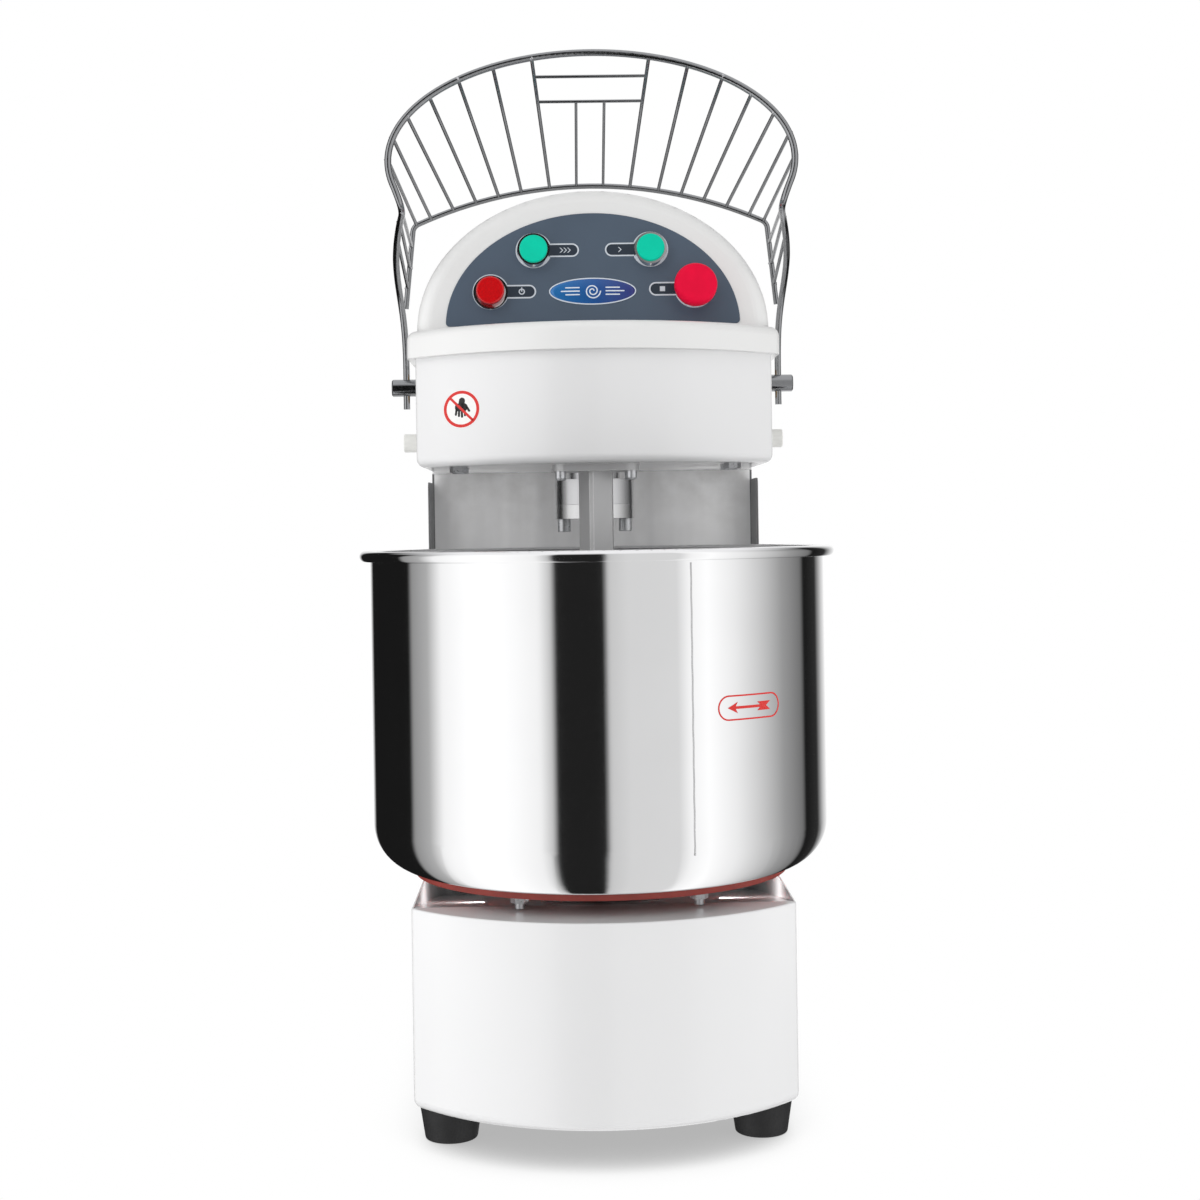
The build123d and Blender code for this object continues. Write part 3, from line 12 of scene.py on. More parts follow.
import bmesh
import bpy
from mathutils import Matrix, Vector
from mathutils.bvhtree import BVHTree


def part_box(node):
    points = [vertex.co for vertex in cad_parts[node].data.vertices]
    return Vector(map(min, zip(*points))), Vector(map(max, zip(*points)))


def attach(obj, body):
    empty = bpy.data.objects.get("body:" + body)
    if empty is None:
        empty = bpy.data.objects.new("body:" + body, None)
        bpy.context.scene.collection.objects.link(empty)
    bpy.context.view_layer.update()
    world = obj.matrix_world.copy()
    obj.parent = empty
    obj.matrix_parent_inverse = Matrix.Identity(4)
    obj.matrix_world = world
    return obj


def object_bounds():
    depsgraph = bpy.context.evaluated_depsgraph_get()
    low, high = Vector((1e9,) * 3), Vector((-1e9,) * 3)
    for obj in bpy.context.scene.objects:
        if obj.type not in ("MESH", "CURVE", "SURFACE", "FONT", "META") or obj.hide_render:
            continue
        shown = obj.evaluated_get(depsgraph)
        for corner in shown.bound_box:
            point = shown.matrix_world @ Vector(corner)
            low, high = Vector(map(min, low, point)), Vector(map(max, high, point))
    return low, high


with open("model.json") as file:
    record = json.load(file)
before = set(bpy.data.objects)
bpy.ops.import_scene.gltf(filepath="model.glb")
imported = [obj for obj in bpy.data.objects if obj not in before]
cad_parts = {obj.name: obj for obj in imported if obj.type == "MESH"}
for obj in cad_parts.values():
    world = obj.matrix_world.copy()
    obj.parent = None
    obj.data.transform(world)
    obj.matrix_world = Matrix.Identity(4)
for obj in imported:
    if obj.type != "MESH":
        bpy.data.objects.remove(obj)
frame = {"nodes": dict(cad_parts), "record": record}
CAD_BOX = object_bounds()
NODES = frame["nodes"]
MM = 0.001
TURN = 2 * math.pi


def middle(node):
    """Centre of a CAD node's box at rest."""
    low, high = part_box(node)
    return (low + high) / 2


# ---------------------------------------------------------------- places that come from the frame

BOWL_AXIS = middle("bowl_turntable")
BOWL_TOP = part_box("bowl")[1].z
TURNTABLE_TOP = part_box("bowl_turntable")[1].z
BOWL_RADIUS = 200 * MM
RIM_ROLL = 11 * MM

FACE_LEAN = math.radians(8)
FACE_OUT = Vector((0, -math.cos(FACE_LEAN), math.sin(FACE_LEAN)))
FACE_UP = Vector((0, math.sin(FACE_LEAN), math.cos(FACE_LEAN)))
FILM = 0.8 * MM
PANEL_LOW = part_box("control_panel")[0]
FACE_FOOT = Vector((0, PANEL_LOW.y, PANEL_LOW.z + FILM * math.sin(FACE_LEAN)))


# ---------------------------------------------------------------- material helpers

def srgb(red, green, blue):
    """Linear colour of an 8-bit screen colour."""
    def linear(value):
        value /= 255
        return value / 12.92 if value <= 0.04045 else ((value + 0.055) / 1.055) ** 2.4
    return (linear(red), linear(green), linear(blue), 1)


class Tree:
    """Adds nodes to a shader tree; a value is either a constant or another node's output."""

    def __init__(self, tree):
        self.nodes = tree.nodes
        self.links = tree.links

    def put(self, socket, value):
        if isinstance(value, bpy.types.NodeSocket):
            self.links.new(value, socket)
        else:
            socket.default_value = value

    def add(self, kind, inputs=None, **settings):
        node = self.nodes.new("ShaderNode" + kind)
        for name, value in settings.items():
            setattr(node, name, value)
        for name, value in (inputs or {}).items():
            self.put(node.inputs[name], value)
        return node

    def math(self, operation, first, second=0.0):
        return self.add("Math", {0: first, 1: second}, operation=operation).outputs[0]

    def coordinates(self, scale=(1, 1, 1)):
        place = self.add("TexCoord").outputs["Object"]
        return self.add("Mapping", {"Vector": place, "Scale": scale}).outputs[0]

    def noise(self, size, stretch=(1, 1, 1), detail=2.0):
        """Noise whose features are about one size wide, in metres, drawn out along some axes."""
        scale = tuple(1 / (size * factor) for factor in stretch)
        inputs = {"Vector": self.coordinates(scale), "Scale": 1.0, "Detail": detail}
        return self.add("TexNoise", inputs).outputs["Fac"]

    def spread(self, value, low, high):
        """A noise value from 0.3 to 0.7 spread over a range."""
        inputs = {"Value": value, "From Min": 0.3, "From Max": 0.7, "To Min": low, "To Max": high}
        return self.add("MapRange", inputs).outputs[0]

    def mix(self, share, first, second):
        node = self.add("Mix", data_type="RGBA")
        self.put(node.inputs["Factor"], share)
        self.put(node.inputs[6], first)
        self.put(node.inputs[7], second)
        return node.outputs[2]

    def bump(self, height, depth, base=None):
        """Normal of a relief that is depth metres deep."""
        inputs = {"Height": height, "Strength": 1.0, "Distance": depth}
        if base is not None:
            inputs["Normal"] = base
        return self.add("Bump", inputs).outputs[0]


def material(name):
    """A new material, its tree helper and its main surface node."""
    made = bpy.data.materials.new(name)
    made.use_nodes = True
    return made, Tree(made.node_tree), made.node_tree.nodes["Principled BSDF"]


def shaded(colour, factor):
    return tuple(channel * factor for channel in colour[:3]) + (1,)


def soft_edges(tree, radius):
    return tree.add("Bevel", {"Radius": radius}, samples=4).outputs[0]


# ---------------------------------------------------------------- materials of the painted and moulded parts

def gloss_coat(name, colour, roughness, peel_size, peel_depth, coat):
    """Sprayed or moulded gloss skin: orange peel, faint tone drift and soft sheet-metal edges."""
    made, tree, surface = material(name)
    drift = tree.noise(90 * MM)
    tree.put(surface.inputs["Base Color"], tree.mix(drift, shaded(colour, 0.97), colour))
    patches = tree.noise(30 * MM)
    tree.put(surface.inputs["Roughness"], tree.spread(patches, roughness - 0.015, roughness + 0.015))
    tree.put(surface.inputs["Coat Weight"], coat)
    tree.put(surface.inputs["Coat Roughness"], 0.08)
    peel = tree.noise(peel_size, detail=3)
    tree.put(surface.inputs["Normal"], tree.bump(peel, peel_depth, soft_edges(tree, 0.9 * MM)))
    return made


def speckled_paint(name, colour, roughness):
    """Thin primer or machine paint with a dry, speckled surface and slightly rubbed high spots."""
    made, tree, surface = material(name)
    speckle = tree.noise(1.2 * MM, detail=4)
    blotch = tree.noise(25 * MM)
    dry = tree.mix(tree.spread(blotch, 0, 1), shaded(colour, 0.78), shaded(colour, 1.12))
    tree.put(surface.inputs["Base Color"], tree.mix(tree.spread(speckle, 0, 0.35), dry, shaded(colour, 1.6)))
    tree.put(surface.inputs["Roughness"], tree.spread(speckle, roughness - 0.1, roughness + 0.1))
    tree.put(surface.inputs["Normal"], tree.bump(speckle, 0.08 * MM, soft_edges(tree, 0.6 * MM)))
    return made


def moulded_plastic(name, colour, roughness, painted_glow=0.0, shine=0.5):
    """Injection-moulded plastic with a fine spark-eroded grain; painted_glow is a painted glow: emission in
    the part's own colour that brightens it, though it is no lamp.
    """
    made, tree, surface = material(name)
    grain = tree.noise(0.35 * MM, detail=2)
    cloud = tree.noise(12 * MM)
    tree.put(surface.inputs["Base Color"], tree.mix(tree.spread(cloud, 0, 1), shaded(colour, 0.92), colour))
    tree.put(surface.inputs["Roughness"], tree.spread(grain, roughness - 0.05, roughness + 0.07))
    tree.put(surface.inputs["Normal"], tree.bump(grain, 0.01 * MM, soft_edges(tree, 0.5 * MM)))
    tree.put(surface.inputs["Specular IOR Level"], shine)
    # Painted glow: the part emits its own colour, though it is no lamp.
    if painted_glow:
        tree.put(surface.inputs["Emission Color"], colour)
        tree.put(surface.inputs["Emission Strength"], painted_glow)
    return made


def panel_film():
    """Slate-blue polycarbonate overlay: fine velvet grain under a thin clear layer."""
    made, tree, surface = material("panel_film")
    colour = srgb(74, 89, 106)
    grain = tree.noise(0.25 * MM, detail=2)
    drift = tree.noise(60 * MM)
    tones = shaded(colour, 0.93), shaded(colour, 1.06)
    tree.put(surface.inputs["Base Color"], tree.mix(tree.spread(drift, 0, 1), *tones))
    tree.put(surface.inputs["Roughness"], tree.spread(grain, 0.38, 0.5))
    tree.put(surface.inputs["Coat Weight"], 0.12)
    tree.put(surface.inputs["Coat Roughness"], 0.3)
    tree.put(surface.inputs["Normal"], tree.bump(grain, 0.012 * MM, soft_edges(tree, 0.3 * MM)))
    return made


def rubber(name, colour):
    """Matt moulded rubber with a dusty bloom in its grain."""
    made, tree, surface = material(name)
    grain = tree.noise(0.8 * MM, detail=4)
    bloom = tree.noise(9 * MM)
    tree.put(surface.inputs["Base Color"], tree.mix(tree.spread(bloom, 0, 0.4), colour, shaded(colour, 2.2)))
    tree.put(surface.inputs["Roughness"], tree.spread(grain, 0.5, 0.75))
    tree.put(surface.inputs["Normal"], tree.bump(grain, 0.05 * MM, soft_edges(tree, 0.8 * MM)))
    return made


# ---------------------------------------------------------------- materials of the bare metals

# How far polishing lines are drawn out along X, Y and Z.
AROUND = (40, 40, 1)
UPRIGHT = (1, 1, 40)
ACROSS = (30, 1, 30)
EVEN = (1, 1, 1)


def drawn_metal(name, colour, roughness, size, stretch, depth, haze=0.0, edge=0.4 * MM, matt=0.0,
                edge_highlight=False):
    """Bare metal whose polishing lines run along the stretched axes, with faint handling haze. Matt is
    the share of the surface that scatters like a dull oxide film; with edge_highlight, edges are painted
    bright: a painted highlight that also passes for rubbed metal."""
    made, tree, surface = material(name)
    lines = tree.noise(size, stretch, detail=3)
    cloud = tree.noise(45 * MM, detail=3)
    tree.put(surface.inputs["Metallic"], 1.0 - matt)
    tree.put(surface.inputs["Base Color"], tree.mix(tree.spread(cloud, 0, 1), shaded(colour, 0.95), colour))
    fine = tree.spread(lines, roughness * 0.75, roughness * 1.25)
    rough = tree.math("ADD", fine, tree.spread(cloud, 0, haze))
    tree.put(surface.inputs["Roughness"], rough)
    base = soft_edges(tree, edge) if edge else None
    tree.put(surface.inputs["Normal"], tree.bump(lines, depth, base))
    # Painted highlight: where the soft-edge normal leaves the flat one, the edge is painted near white.
    if edge_highlight:
        flat = tree.add("NewGeometry").outputs["Normal"]
        level = tree.add("VectorMath", {0: base, 1: flat}, operation="DOT_PRODUCT").outputs["Value"]
        edge_highlight_share = tree.add("MapRange", {"Value": level, "From Min": 0.99, "From Max": 0.94}).outputs[0]
        plain = surface.inputs["Base Color"].links[0].from_socket
        tree.put(surface.inputs["Base Color"], tree.mix(edge_highlight_share, plain, (0.97, 0.97, 0.97, 1)))
    return made


def polished_bowl():
    """Mirror-polished spun steel: fine lines around the wall and a faint haze. Below the wall the
    normal is held nearly level, so that the studio's bands run straight down to the bowl's foot."""
    made, tree, surface = material("polished_steel")
    lines = tree.noise(0.35 * MM, AROUND, detail=3)
    cloud = tree.noise(60 * MM, detail=3)
    tree.put(surface.inputs["Metallic"], 1.0)
    tree.put(surface.inputs["Base Color"], tree.mix(cloud, (0.87, 0.87, 0.875, 1), (0.92, 0.92, 0.925, 1)))
    tree.put(surface.inputs["Roughness"], tree.math("ADD", tree.spread(lines, 0.035, 0.06),
                                                    tree.spread(cloud, 0, 0.02)))
    normal = tree.add("SeparateXYZ", {0: tree.add("NewGeometry").outputs["Normal"]}).outputs
    held = tree.math("MAXIMUM", tree.math("MULTIPLY", normal[2], 0.15), normal[2])
    level = tree.add("CombineXYZ", {0: normal[0], 1: normal[1], 2: held}).outputs[0]
    level = tree.add("VectorMath", {0: level}, operation="NORMALIZE").outputs[0]
    tree.put(surface.inputs["Normal"], tree.bump(lines, 0.0006 * MM, level))
    return made


MOTTLED_HEIGHT = 80 * MM
WING_THICKNESS = 2 * MM


def splash_steel():
    """Satin stainless sheet in front of the column: soft upright streaks, a dull film and darker mottling
    high up, just under the head. Its bent side wings are painted near black as painted shade, where they
    turn away from the light."""
    made, tree, surface = material("brushed_stainless")
    grain = tree.noise(0.3 * MM, UPRIGHT, detail=3)
    streaks = tree.noise(26 * MM, (1, 1, 12), detail=2)
    top_mottle = tree.noise(16 * MM, detail=4)
    place = tree.add("SeparateXYZ", {0: tree.add("TexCoord").outputs["Object"]}).outputs
    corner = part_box("splash_cover")[1]
    inputs = {"Value": place[2], "From Min": corner.z - MOTTLED_HEIGHT, "From Max": corner.z, "To Max": 0.5}
    high_up = tree.add("MapRange", inputs).outputs[0]
    film = tree.mix(tree.spread(streaks, 0, 1), (0.78, 0.78, 0.785, 1), (0.98, 0.98, 0.98, 1))
    # Darker, mottled colour toward the top of the sheet, just under the head.
    top_darkening = tree.math("MULTIPLY", tree.spread(top_mottle, 0, 1), high_up)
    sheet = tree.mix(top_darkening, film, (0.60, 0.59, 0.58, 1))
    # The side wings get a near-black colour: painted shade, where they turn away from the light.
    across = tree.math("ABSOLUTE", place[0])
    painted_shade_on_wings = tree.math("GREATER_THAN", across, corner.x - WING_THICKNESS)
    tree.put(surface.inputs["Base Color"], tree.mix(painted_shade_on_wings, sheet, (0.13, 0.13, 0.135, 1)))
    tree.put(surface.inputs["Metallic"], 0.18)
    tree.put(surface.inputs["Roughness"], tree.spread(grain, 0.34, 0.5))
    tree.put(surface.inputs["Normal"], tree.bump(grain, 0.004 * MM, soft_edges(tree, 0.4 * MM)))
    return made


def lamp_lens():
    """Clear red lens over a dark reflector, painted deeper at its rim and lighter in the middle by viewing
    angle: painted shade and painted light.
    """
    made, tree, surface = material("lamp_red")
    facing = tree.add("LayerWeight", {"Blend": 0.35}).outputs["Facing"]
    prisms = tree.noise(1.1 * MM, detail=1)
    # Painted shade at the rim and painted light in the middle, by the angle the lens is seen at.
    red = tree.mix(facing, srgb(206, 6, 14), srgb(84, 0, 8))
    red = tree.mix(tree.spread(prisms, 0, 0.35), red, srgb(120, 0, 8))
    tree.put(surface.inputs["Base Color"], red)
    tree.put(surface.inputs["Roughness"], 0.14)
    tree.put(surface.inputs["Coat Weight"], 0.5)
    tree.put(surface.inputs["Emission Color"], red)
    tree.put(surface.inputs["Emission Strength"], 0.10)
    tree.put(surface.inputs["Normal"], soft_edges(tree, 1.0 * MM))
    return made


def plated(name, colour, roughness):
    """Zinc or chrome plating on small hardware: slightly mottled and a little dulled."""
    made, tree, surface = material(name)
    mottle = tree.noise(1.5 * MM, detail=4)
    tree.put(surface.inputs["Metallic"], 1.0)
    tree.put(surface.inputs["Base Color"], tree.mix(tree.spread(mottle, 0, 1), shaded(colour, 0.8), colour))
    tree.put(surface.inputs["Roughness"], tree.spread(mottle, roughness * 0.7, roughness * 1.3))
    tree.put(surface.inputs["Normal"], tree.bump(mottle, 0.01 * MM, soft_edges(tree, 0.3 * MM)))
    return made


def cast_metal(name, colour):
    """Sand-cast iron or aluminium under a thin grey coat."""
    made, tree, surface = material(name)
    sand = tree.noise(1.6 * MM, detail=5)
    blotch = tree.noise(20 * MM)
    tree.put(surface.inputs["Metallic"], 0.55)
    tree.put(surface.inputs["Base Color"], tree.mix(tree.spread(blotch, 0, 1), shaded(colour, 0.75), colour))
    tree.put(surface.inputs["Roughness"], tree.spread(sand, 0.45, 0.7))
    tree.put(surface.inputs["Normal"], tree.bump(sand, 0.15 * MM, soft_edges(tree, 0.8 * MM)))
    return made


FINISHES = {
    "white_paint": gloss_coat("white_paint", (0.80, 0.80, 0.805, 1), 0.24, 1.6 * MM, 0.010 * MM, 0.35),
    "white_plastic": gloss_coat("white_plastic", (0.81, 0.81, 0.805, 1), 0.30, 0.9 * MM, 0.006 * MM, 0.20),
    "panel_film": panel_film(),
    "polished_steel": polished_bowl(),
    "brushed_stainless": splash_steel(),
    "bar_steel": drawn_metal("bar_steel", (0.56, 0.56, 0.565, 1), 0.34, 0.4 * MM, UPRIGHT, 0.004 * MM,
                             haze=0.10, edge=1.2 * MM, matt=0.6, edge_highlight=True),
    "chromed_wire": drawn_metal("chromed_wire", (0.33, 0.335, 0.345, 1), 0.12, 2.5 * MM, EVEN,
                                0.001 * MM, haze=0.03, edge=0),
    "zinc_steel": plated("zinc_steel", (0.72, 0.73, 0.75, 1), 0.36),
    "primer_red": speckled_paint("primer_red", srgb(138, 52, 44), 0.55),
    "cast_grey": cast_metal("cast_grey", srgb(132, 134, 136)),
    "machined_steel": drawn_metal("machined_steel", (0.58, 0.58, 0.59, 1), 0.20, 0.25 * MM, AROUND,
                                  0.003 * MM),
    "plate_steel": drawn_metal("plate_steel", (0.52, 0.53, 0.55, 1), 0.34, 0.5 * MM, ACROSS, 0.006 * MM,
                               haze=0.1),
    "button_green": moulded_plastic("button_green", srgb(0, 188, 156), 0.40, painted_glow=0.22, shine=0.12),
    "stop_red": moulded_plastic("stop_red", srgb(226, 4, 56), 0.45, painted_glow=0.08, shine=0.12),
    "lamp_red": lamp_lens(),
    "black_plastic": moulded_plastic("black_plastic", srgb(26, 26, 28), 0.38),
    "white_nylon": moulded_plastic("white_nylon", srgb(236, 236, 232), 0.45),
    "bronze": drawn_metal("bronze", (0.70, 0.45, 0.22, 1), 0.26, 0.3 * MM, AROUND, 0.004 * MM),
    "black_rubber": rubber("black_rubber", srgb(24, 24, 25)),
    "motor_paint": speckled_paint("motor_paint", srgb(72, 84, 96), 0.42),
}
SATIN_STEEL = drawn_metal("satin_steel", (0.66, 0.66, 0.665, 1), 0.17, 0.3 * MM, AROUND, 0.002 * MM,
                          haze=0.05)


def dress_nodes():
    """Gives every CAD node the finish that its record slot names, and the spiral its satin polish."""
    for part in frame["record"]["subparts"]:
        mesh = NODES[part["node"]].data
        mesh.materials.clear()
        is_spiral = part["node"] == "spiral_hook"
        mesh.materials.append(SATIN_STEEL if is_spiral else FINISHES[part["material_slot"]])


dress_nodes()


# ---------------------------------------------------------------- flat shapes and laying them on surfaces

def arc(centre, radius, start, end, steps):
    """Points on an arc, angles in radians, both ends included."""
    return [(centre[0] + radius * math.cos(start + (end - start) * i / steps),
             centre[1] + radius * math.sin(start + (end - start) * i / steps)) for i in range(steps + 1)]


def oval(centre, half_width, half_height, steps=96):
    return [(centre[0] + half_width * math.cos(TURN * i / steps),
             centre[1] + half_height * math.sin(TURN * i / steps)) for i in range(steps)]


def capsule(first, second, radius, steps=14):
    """Outline of a round-ended bar between two points."""
    heading = math.atan2(second[1] - first[1], second[0] - first[0])
    quarter = math.pi / 2
    return (arc(second, radius, heading - quarter, heading + quarter, steps)
            + arc(first, radius, heading + quarter, heading + 3 * quarter, steps))


def ring_and_pill(centre, radius, reach, half_height, side):
    """Outline of a ring joined to a round-ended label field; side is +1 right or -1 left."""
    mouth = math.asin(half_height / radius)
    ring = arc((0, 0), radius, mouth, TURN - mouth, 72)
    tip = arc((reach - half_height, 0), half_height, -math.pi / 2, math.pi / 2, 20)
    loop = [(centre[0] + side * u, centre[1] + v) for u, v in ring + tip]
    return loop if side > 0 else loop[::-1]


def widened(loop, distance):
    """The loop moved outward by a distance, or inward by a negative one, for a counter-clockwise loop."""
    moved = []
    count = len(loop)
    for i, (u, v) in enumerate(loop):
        back, ahead = loop[i - 1], loop[(i + 1) % count]
        along = Vector((ahead[0] - back[0], ahead[1] - back[1])).normalized()
        moved.append((u + along.y * distance, v - along.x * distance))
    return moved


def band(loop, width):
    """The two loops that bound a line of a given width."""
    return [widened(loop, width / 2), widened(loop, -width / 2)]


def slab(shapes, thickness, cell=None):
    """Closed flat mesh of some shapes, each an outer loop and any holes. Cell, when given, is the width
    of the strips that it is cut into so that it can bend."""
    whole = bmesh.new()
    for loops in shapes:
        mesh = bmesh.new()
        for loop in loops:
            corners = [mesh.verts.new((u, v, 0)) for u, v in loop]
            for i, corner in enumerate(corners):
                mesh.edges.new((corners[i - 1], corner))
        bmesh.ops.triangle_fill(mesh, use_beauty=True, use_dissolve=False, edges=mesh.edges[:])
        grown = bmesh.ops.extrude_face_region(mesh, geom=mesh.faces[:])
        tops = [item for item in grown["geom"] if isinstance(item, bmesh.types.BMVert)]
        bmesh.ops.translate(mesh, verts=tops, vec=(0, 0, thickness))
        bmesh.ops.recalc_face_normals(mesh, faces=mesh.faces[:])
        copied = bpy.data.meshes.new("shape")
        mesh.to_mesh(copied)
        mesh.free()
        whole.from_mesh(copied)
        bpy.data.meshes.remove(copied)
    if cell:
        across = [v.co.x for v in whole.verts]
        cut = math.ceil(min(across) / cell) * cell
        while cut < max(across):
            parts = whole.verts[:] + whole.edges[:] + whole.faces[:]
            bmesh.ops.bisect_plane(whole, geom=parts, plane_co=(cut, 0, 0), plane_no=(1, 0, 0))
            cut += cell
    return whole


def piece(name, mesh, finish, body, smooth=False):
    """A named object from a finished mesh, riding on a body."""
    data = bpy.data.meshes.new(name)
    bmesh.ops.recalc_face_normals(mesh, faces=mesh.faces[:])
    mesh.to_mesh(data)
    mesh.free()
    for polygon in data.polygons:
        polygon.use_smooth = smooth
    data.materials.append(finish)
    made = bpy.data.objects.new(name, data)
    bpy.context.scene.collection.objects.link(made)
    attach(made, body)
    return made


def laid(name, shapes, thickness, surface, finish, body, cell=None, smooth=False):
    """A thin print or plate: the flat slab, with each point carried to the surface it lies on."""
    mesh = slab(shapes, thickness, cell)
    for vertex in mesh.verts:
        vertex.co = surface(*vertex.co)
    return piece(name, mesh, finish, body, smooth)


# ---------------------------------------------------------------- prints on the control panel

def on_face(u, v, lift):
    """A point above the panel film, v measured up the face from the foot of the panel."""
    return FACE_FOOT + Vector((u, 0, 0)) + FACE_UP * v + FACE_OUT * lift


def switch_spot(node):
    """Where a switch's axis meets the film, in the face's own two directions."""
    centre = middle(node)
    return (centre.x, (centre - FACE_FOOT).dot(FACE_UP))


def print_ink(name, colour):
    """Screen-printed ink with a fine, dry grain."""
    made, tree, surface = material(name)
    grain = tree.noise(0.3 * MM, detail=2)
    tree.put(surface.inputs["Base Color"], tree.mix(tree.spread(grain, 0, 1), shaded(colour, 0.94), colour))
    tree.put(surface.inputs["Roughness"], tree.spread(grain, 0.36, 0.48))
    return made


INK_LIGHT = print_ink("ink_light", srgb(205, 212, 220))
INK_DARK = print_ink("ink_dark", srgb(36, 48, 62))
INK_RED = print_ink("ink_red", srgb(214, 44, 40))
INK_BLACK = print_ink("ink_black", srgb(28, 26, 26))
INK_EMBLEM = print_ink("ink_badge", srgb(226, 234, 244))
STICKER_WHITE = print_ink("sticker_white", srgb(244, 243, 241))

OUTLINE_WIDTH = 1.3 * MM
PILL_HALF = 5.6 * MM
RING_R = 15.6 * MM
STOP_RING_R = 17.2 * MM
PILL_REACH = 40 * MM
PRINT_LIFT = 0.12 * MM
ICON_SIZE = 2.3 * MM
ICON_LINE = 1.0 * MM
CHEVRON_PITCH = 3.4 * MM


def chevron(centre, size, width):
    """A right-pointing chevron, as one outline."""
    u, v = centre
    half = size / 2
    return [(u - half, v - size), (u - half + width, v - size), (u + half + width, v),
            (u - half + width, v + size), (u - half, v + size), (u + half, v)]


def switch_fields():
    """For each switch and the lamp: its spot, ring radius and the side its label field is on."""
    return {
        "fast": (switch_spot("fast_button"), RING_R, 1),
        "slow": (switch_spot("slow_button"), RING_R, -1),
        "power": (switch_spot("power_lamp"), RING_R, 1),
        "stop": (switch_spot("stop_button"), STOP_RING_R, -1),
    }


def icon(kind, centre):
    """Plain pictogram of a switch: three chevrons, one chevron, the power mark or a stop square."""
    u, v = centre
    if kind == "fast":
        return [[chevron((u + step * CHEVRON_PITCH, v), ICON_SIZE, ICON_LINE)] for step in (-1, 0, 1)]
    if kind == "slow":
        return [[chevron((u, v), ICON_SIZE, ICON_LINE)]]
    if kind == "power":
        stroke = capsule((u, v + 0.4 * MM), (u, v + 3.4 * MM), ICON_LINE / 2)
        return [band(oval((u, v), ICON_SIZE, ICON_SIZE, 40), ICON_LINE), [stroke]]
    return [[[(u + side_u * ICON_SIZE, v + side_v * ICON_SIZE)
              for side_u, side_v in ((-1, -1), (1, -1), (1, 1), (-1, 1))]]]


def print_panel():
    """Ring-and-field outlines with dark fields and pictograms, in place of the printed words."""
    outlines, fields, icons = [], [], []
    for kind, (spot, radius, side) in switch_fields().items():
        loop = ring_and_pill(spot, radius, PILL_REACH, PILL_HALF, side)
        outlines.append(band(loop, OUTLINE_WIDTH))
        fields.append([widened(loop, -OUTLINE_WIDTH / 2)])
        field_middle = (spot[0] + side * (radius + PILL_REACH) / 2, spot[1])
        icons += icon(kind, field_middle)
    for name, shapes, lift, ink in (("panel_fields", fields, PRINT_LIFT / 2, INK_DARK),
                                    ("panel_outlines", outlines, PRINT_LIFT, INK_LIGHT),
                                    ("panel_icons", icons, PRINT_LIFT, INK_LIGHT)):
        laid(name, shapes, lift, on_face, ink, "frame")


print_panel()

# ---------------------------------------------------------------- domed badge on the panel

BADGE_HALF = (38.5 * MM, 11.85 * MM)
BADGE_CENTRE = (0.0, switch_spot("power_lamp")[1] - 0.5 * MM)
BADGE_BORDER = 1.0 * MM
BADGE_DOME = 1.2 * MM
BADGE_SKIN = 0.3 * MM
BADGE_RINGS = 9


def badge_blue():
    """Blue lacquer under a clear dome, light on the left and deep on the right."""
    made, tree, surface = material("badge_blue")
    place = tree.add("TexCoord").outputs["Object"]
    across = tree.add("SeparateXYZ", {0: place}).outputs[0]
    inputs = {"Value": across, "From Min": -BADGE_HALF[0], "From Max": BADGE_HALF[0]}
    share = tree.add("MapRange", inputs).outputs[0]
    ramp = tree.add("ValToRGB", {"Fac": share})
    ramp.color_ramp.elements[0].color = srgb(28, 120, 190)
    ramp.color_ramp.elements[1].color = srgb(4, 14, 120)
    flakes = tree.noise(0.4 * MM, detail=3)
    tree.put(surface.inputs["Base Color"], ramp.outputs[0])
    tree.put(surface.inputs["Metallic"], 0.25)
    tree.put(surface.inputs["Roughness"], tree.spread(flakes, 0.25, 0.45))
    tree.put(surface.inputs["Coat Weight"], 0.8)
    tree.put(surface.inputs["Coat Roughness"], 0.05)
    return made


def badge_surface(u, v, lift):
    """Points of the badge rise toward its middle, so that it is a shallow dome."""
    share = (u / BADGE_HALF[0]) ** 2 + (v / BADGE_HALF[1]) ** 2
    rise = BADGE_DOME * max(0.0, 1 - share) if lift > 0 else 0.0
    return on_face(BADGE_CENTRE[0] + u, BADGE_CENTRE[1] + v, lift + rise)


def badge_dome():
    """Concentric ovals from the border to the crown, closed by a flat back."""
    mesh = bmesh.new()
    rows = []
    for ring in range(BADGE_RINGS):
        scale = 1 - ring / BADGE_RINGS
        loop = oval((0, 0), BADGE_HALF[0] * scale, BADGE_HALF[1] * scale)
        rows.append([mesh.verts.new(badge_surface(u, v, BADGE_SKIN)) for u, v in loop])
    crown = mesh.verts.new(badge_surface(0, 0, BADGE_SKIN))
    back = [mesh.verts.new(badge_surface(u, v, 0)) for u, v in oval((0, 0), *BADGE_HALF)]
    count = len(back)
    for outer, inner in zip([back] + rows, rows):
        for i in range(count):
            j = (i + 1) % count
            mesh.faces.new((outer[i], outer[j], inner[j], inner[i]))
    for i in range(count):
        mesh.faces.new((rows[-1][i], rows[-1][(i + 1) % count], crown))
    mesh.faces.new(back)
    return mesh


def spiral_loop(centre, turns, pitch, width):
    """Outline of a flat spiral line, outward along one edge and back along the other."""
    steps = int(turns * 28)
    edges = []
    for side in (1, -1):
        edge = []
        for i in range(steps + 1):
            angle = TURN * turns * i / steps
            radius = pitch * (0.35 + angle / TURN) + side * width / 2
            edge.append((centre[0] + radius * math.cos(angle), centre[1] + radius * math.sin(angle)))
        edges.append(edge)
    return edges[0] + edges[1][::-1]


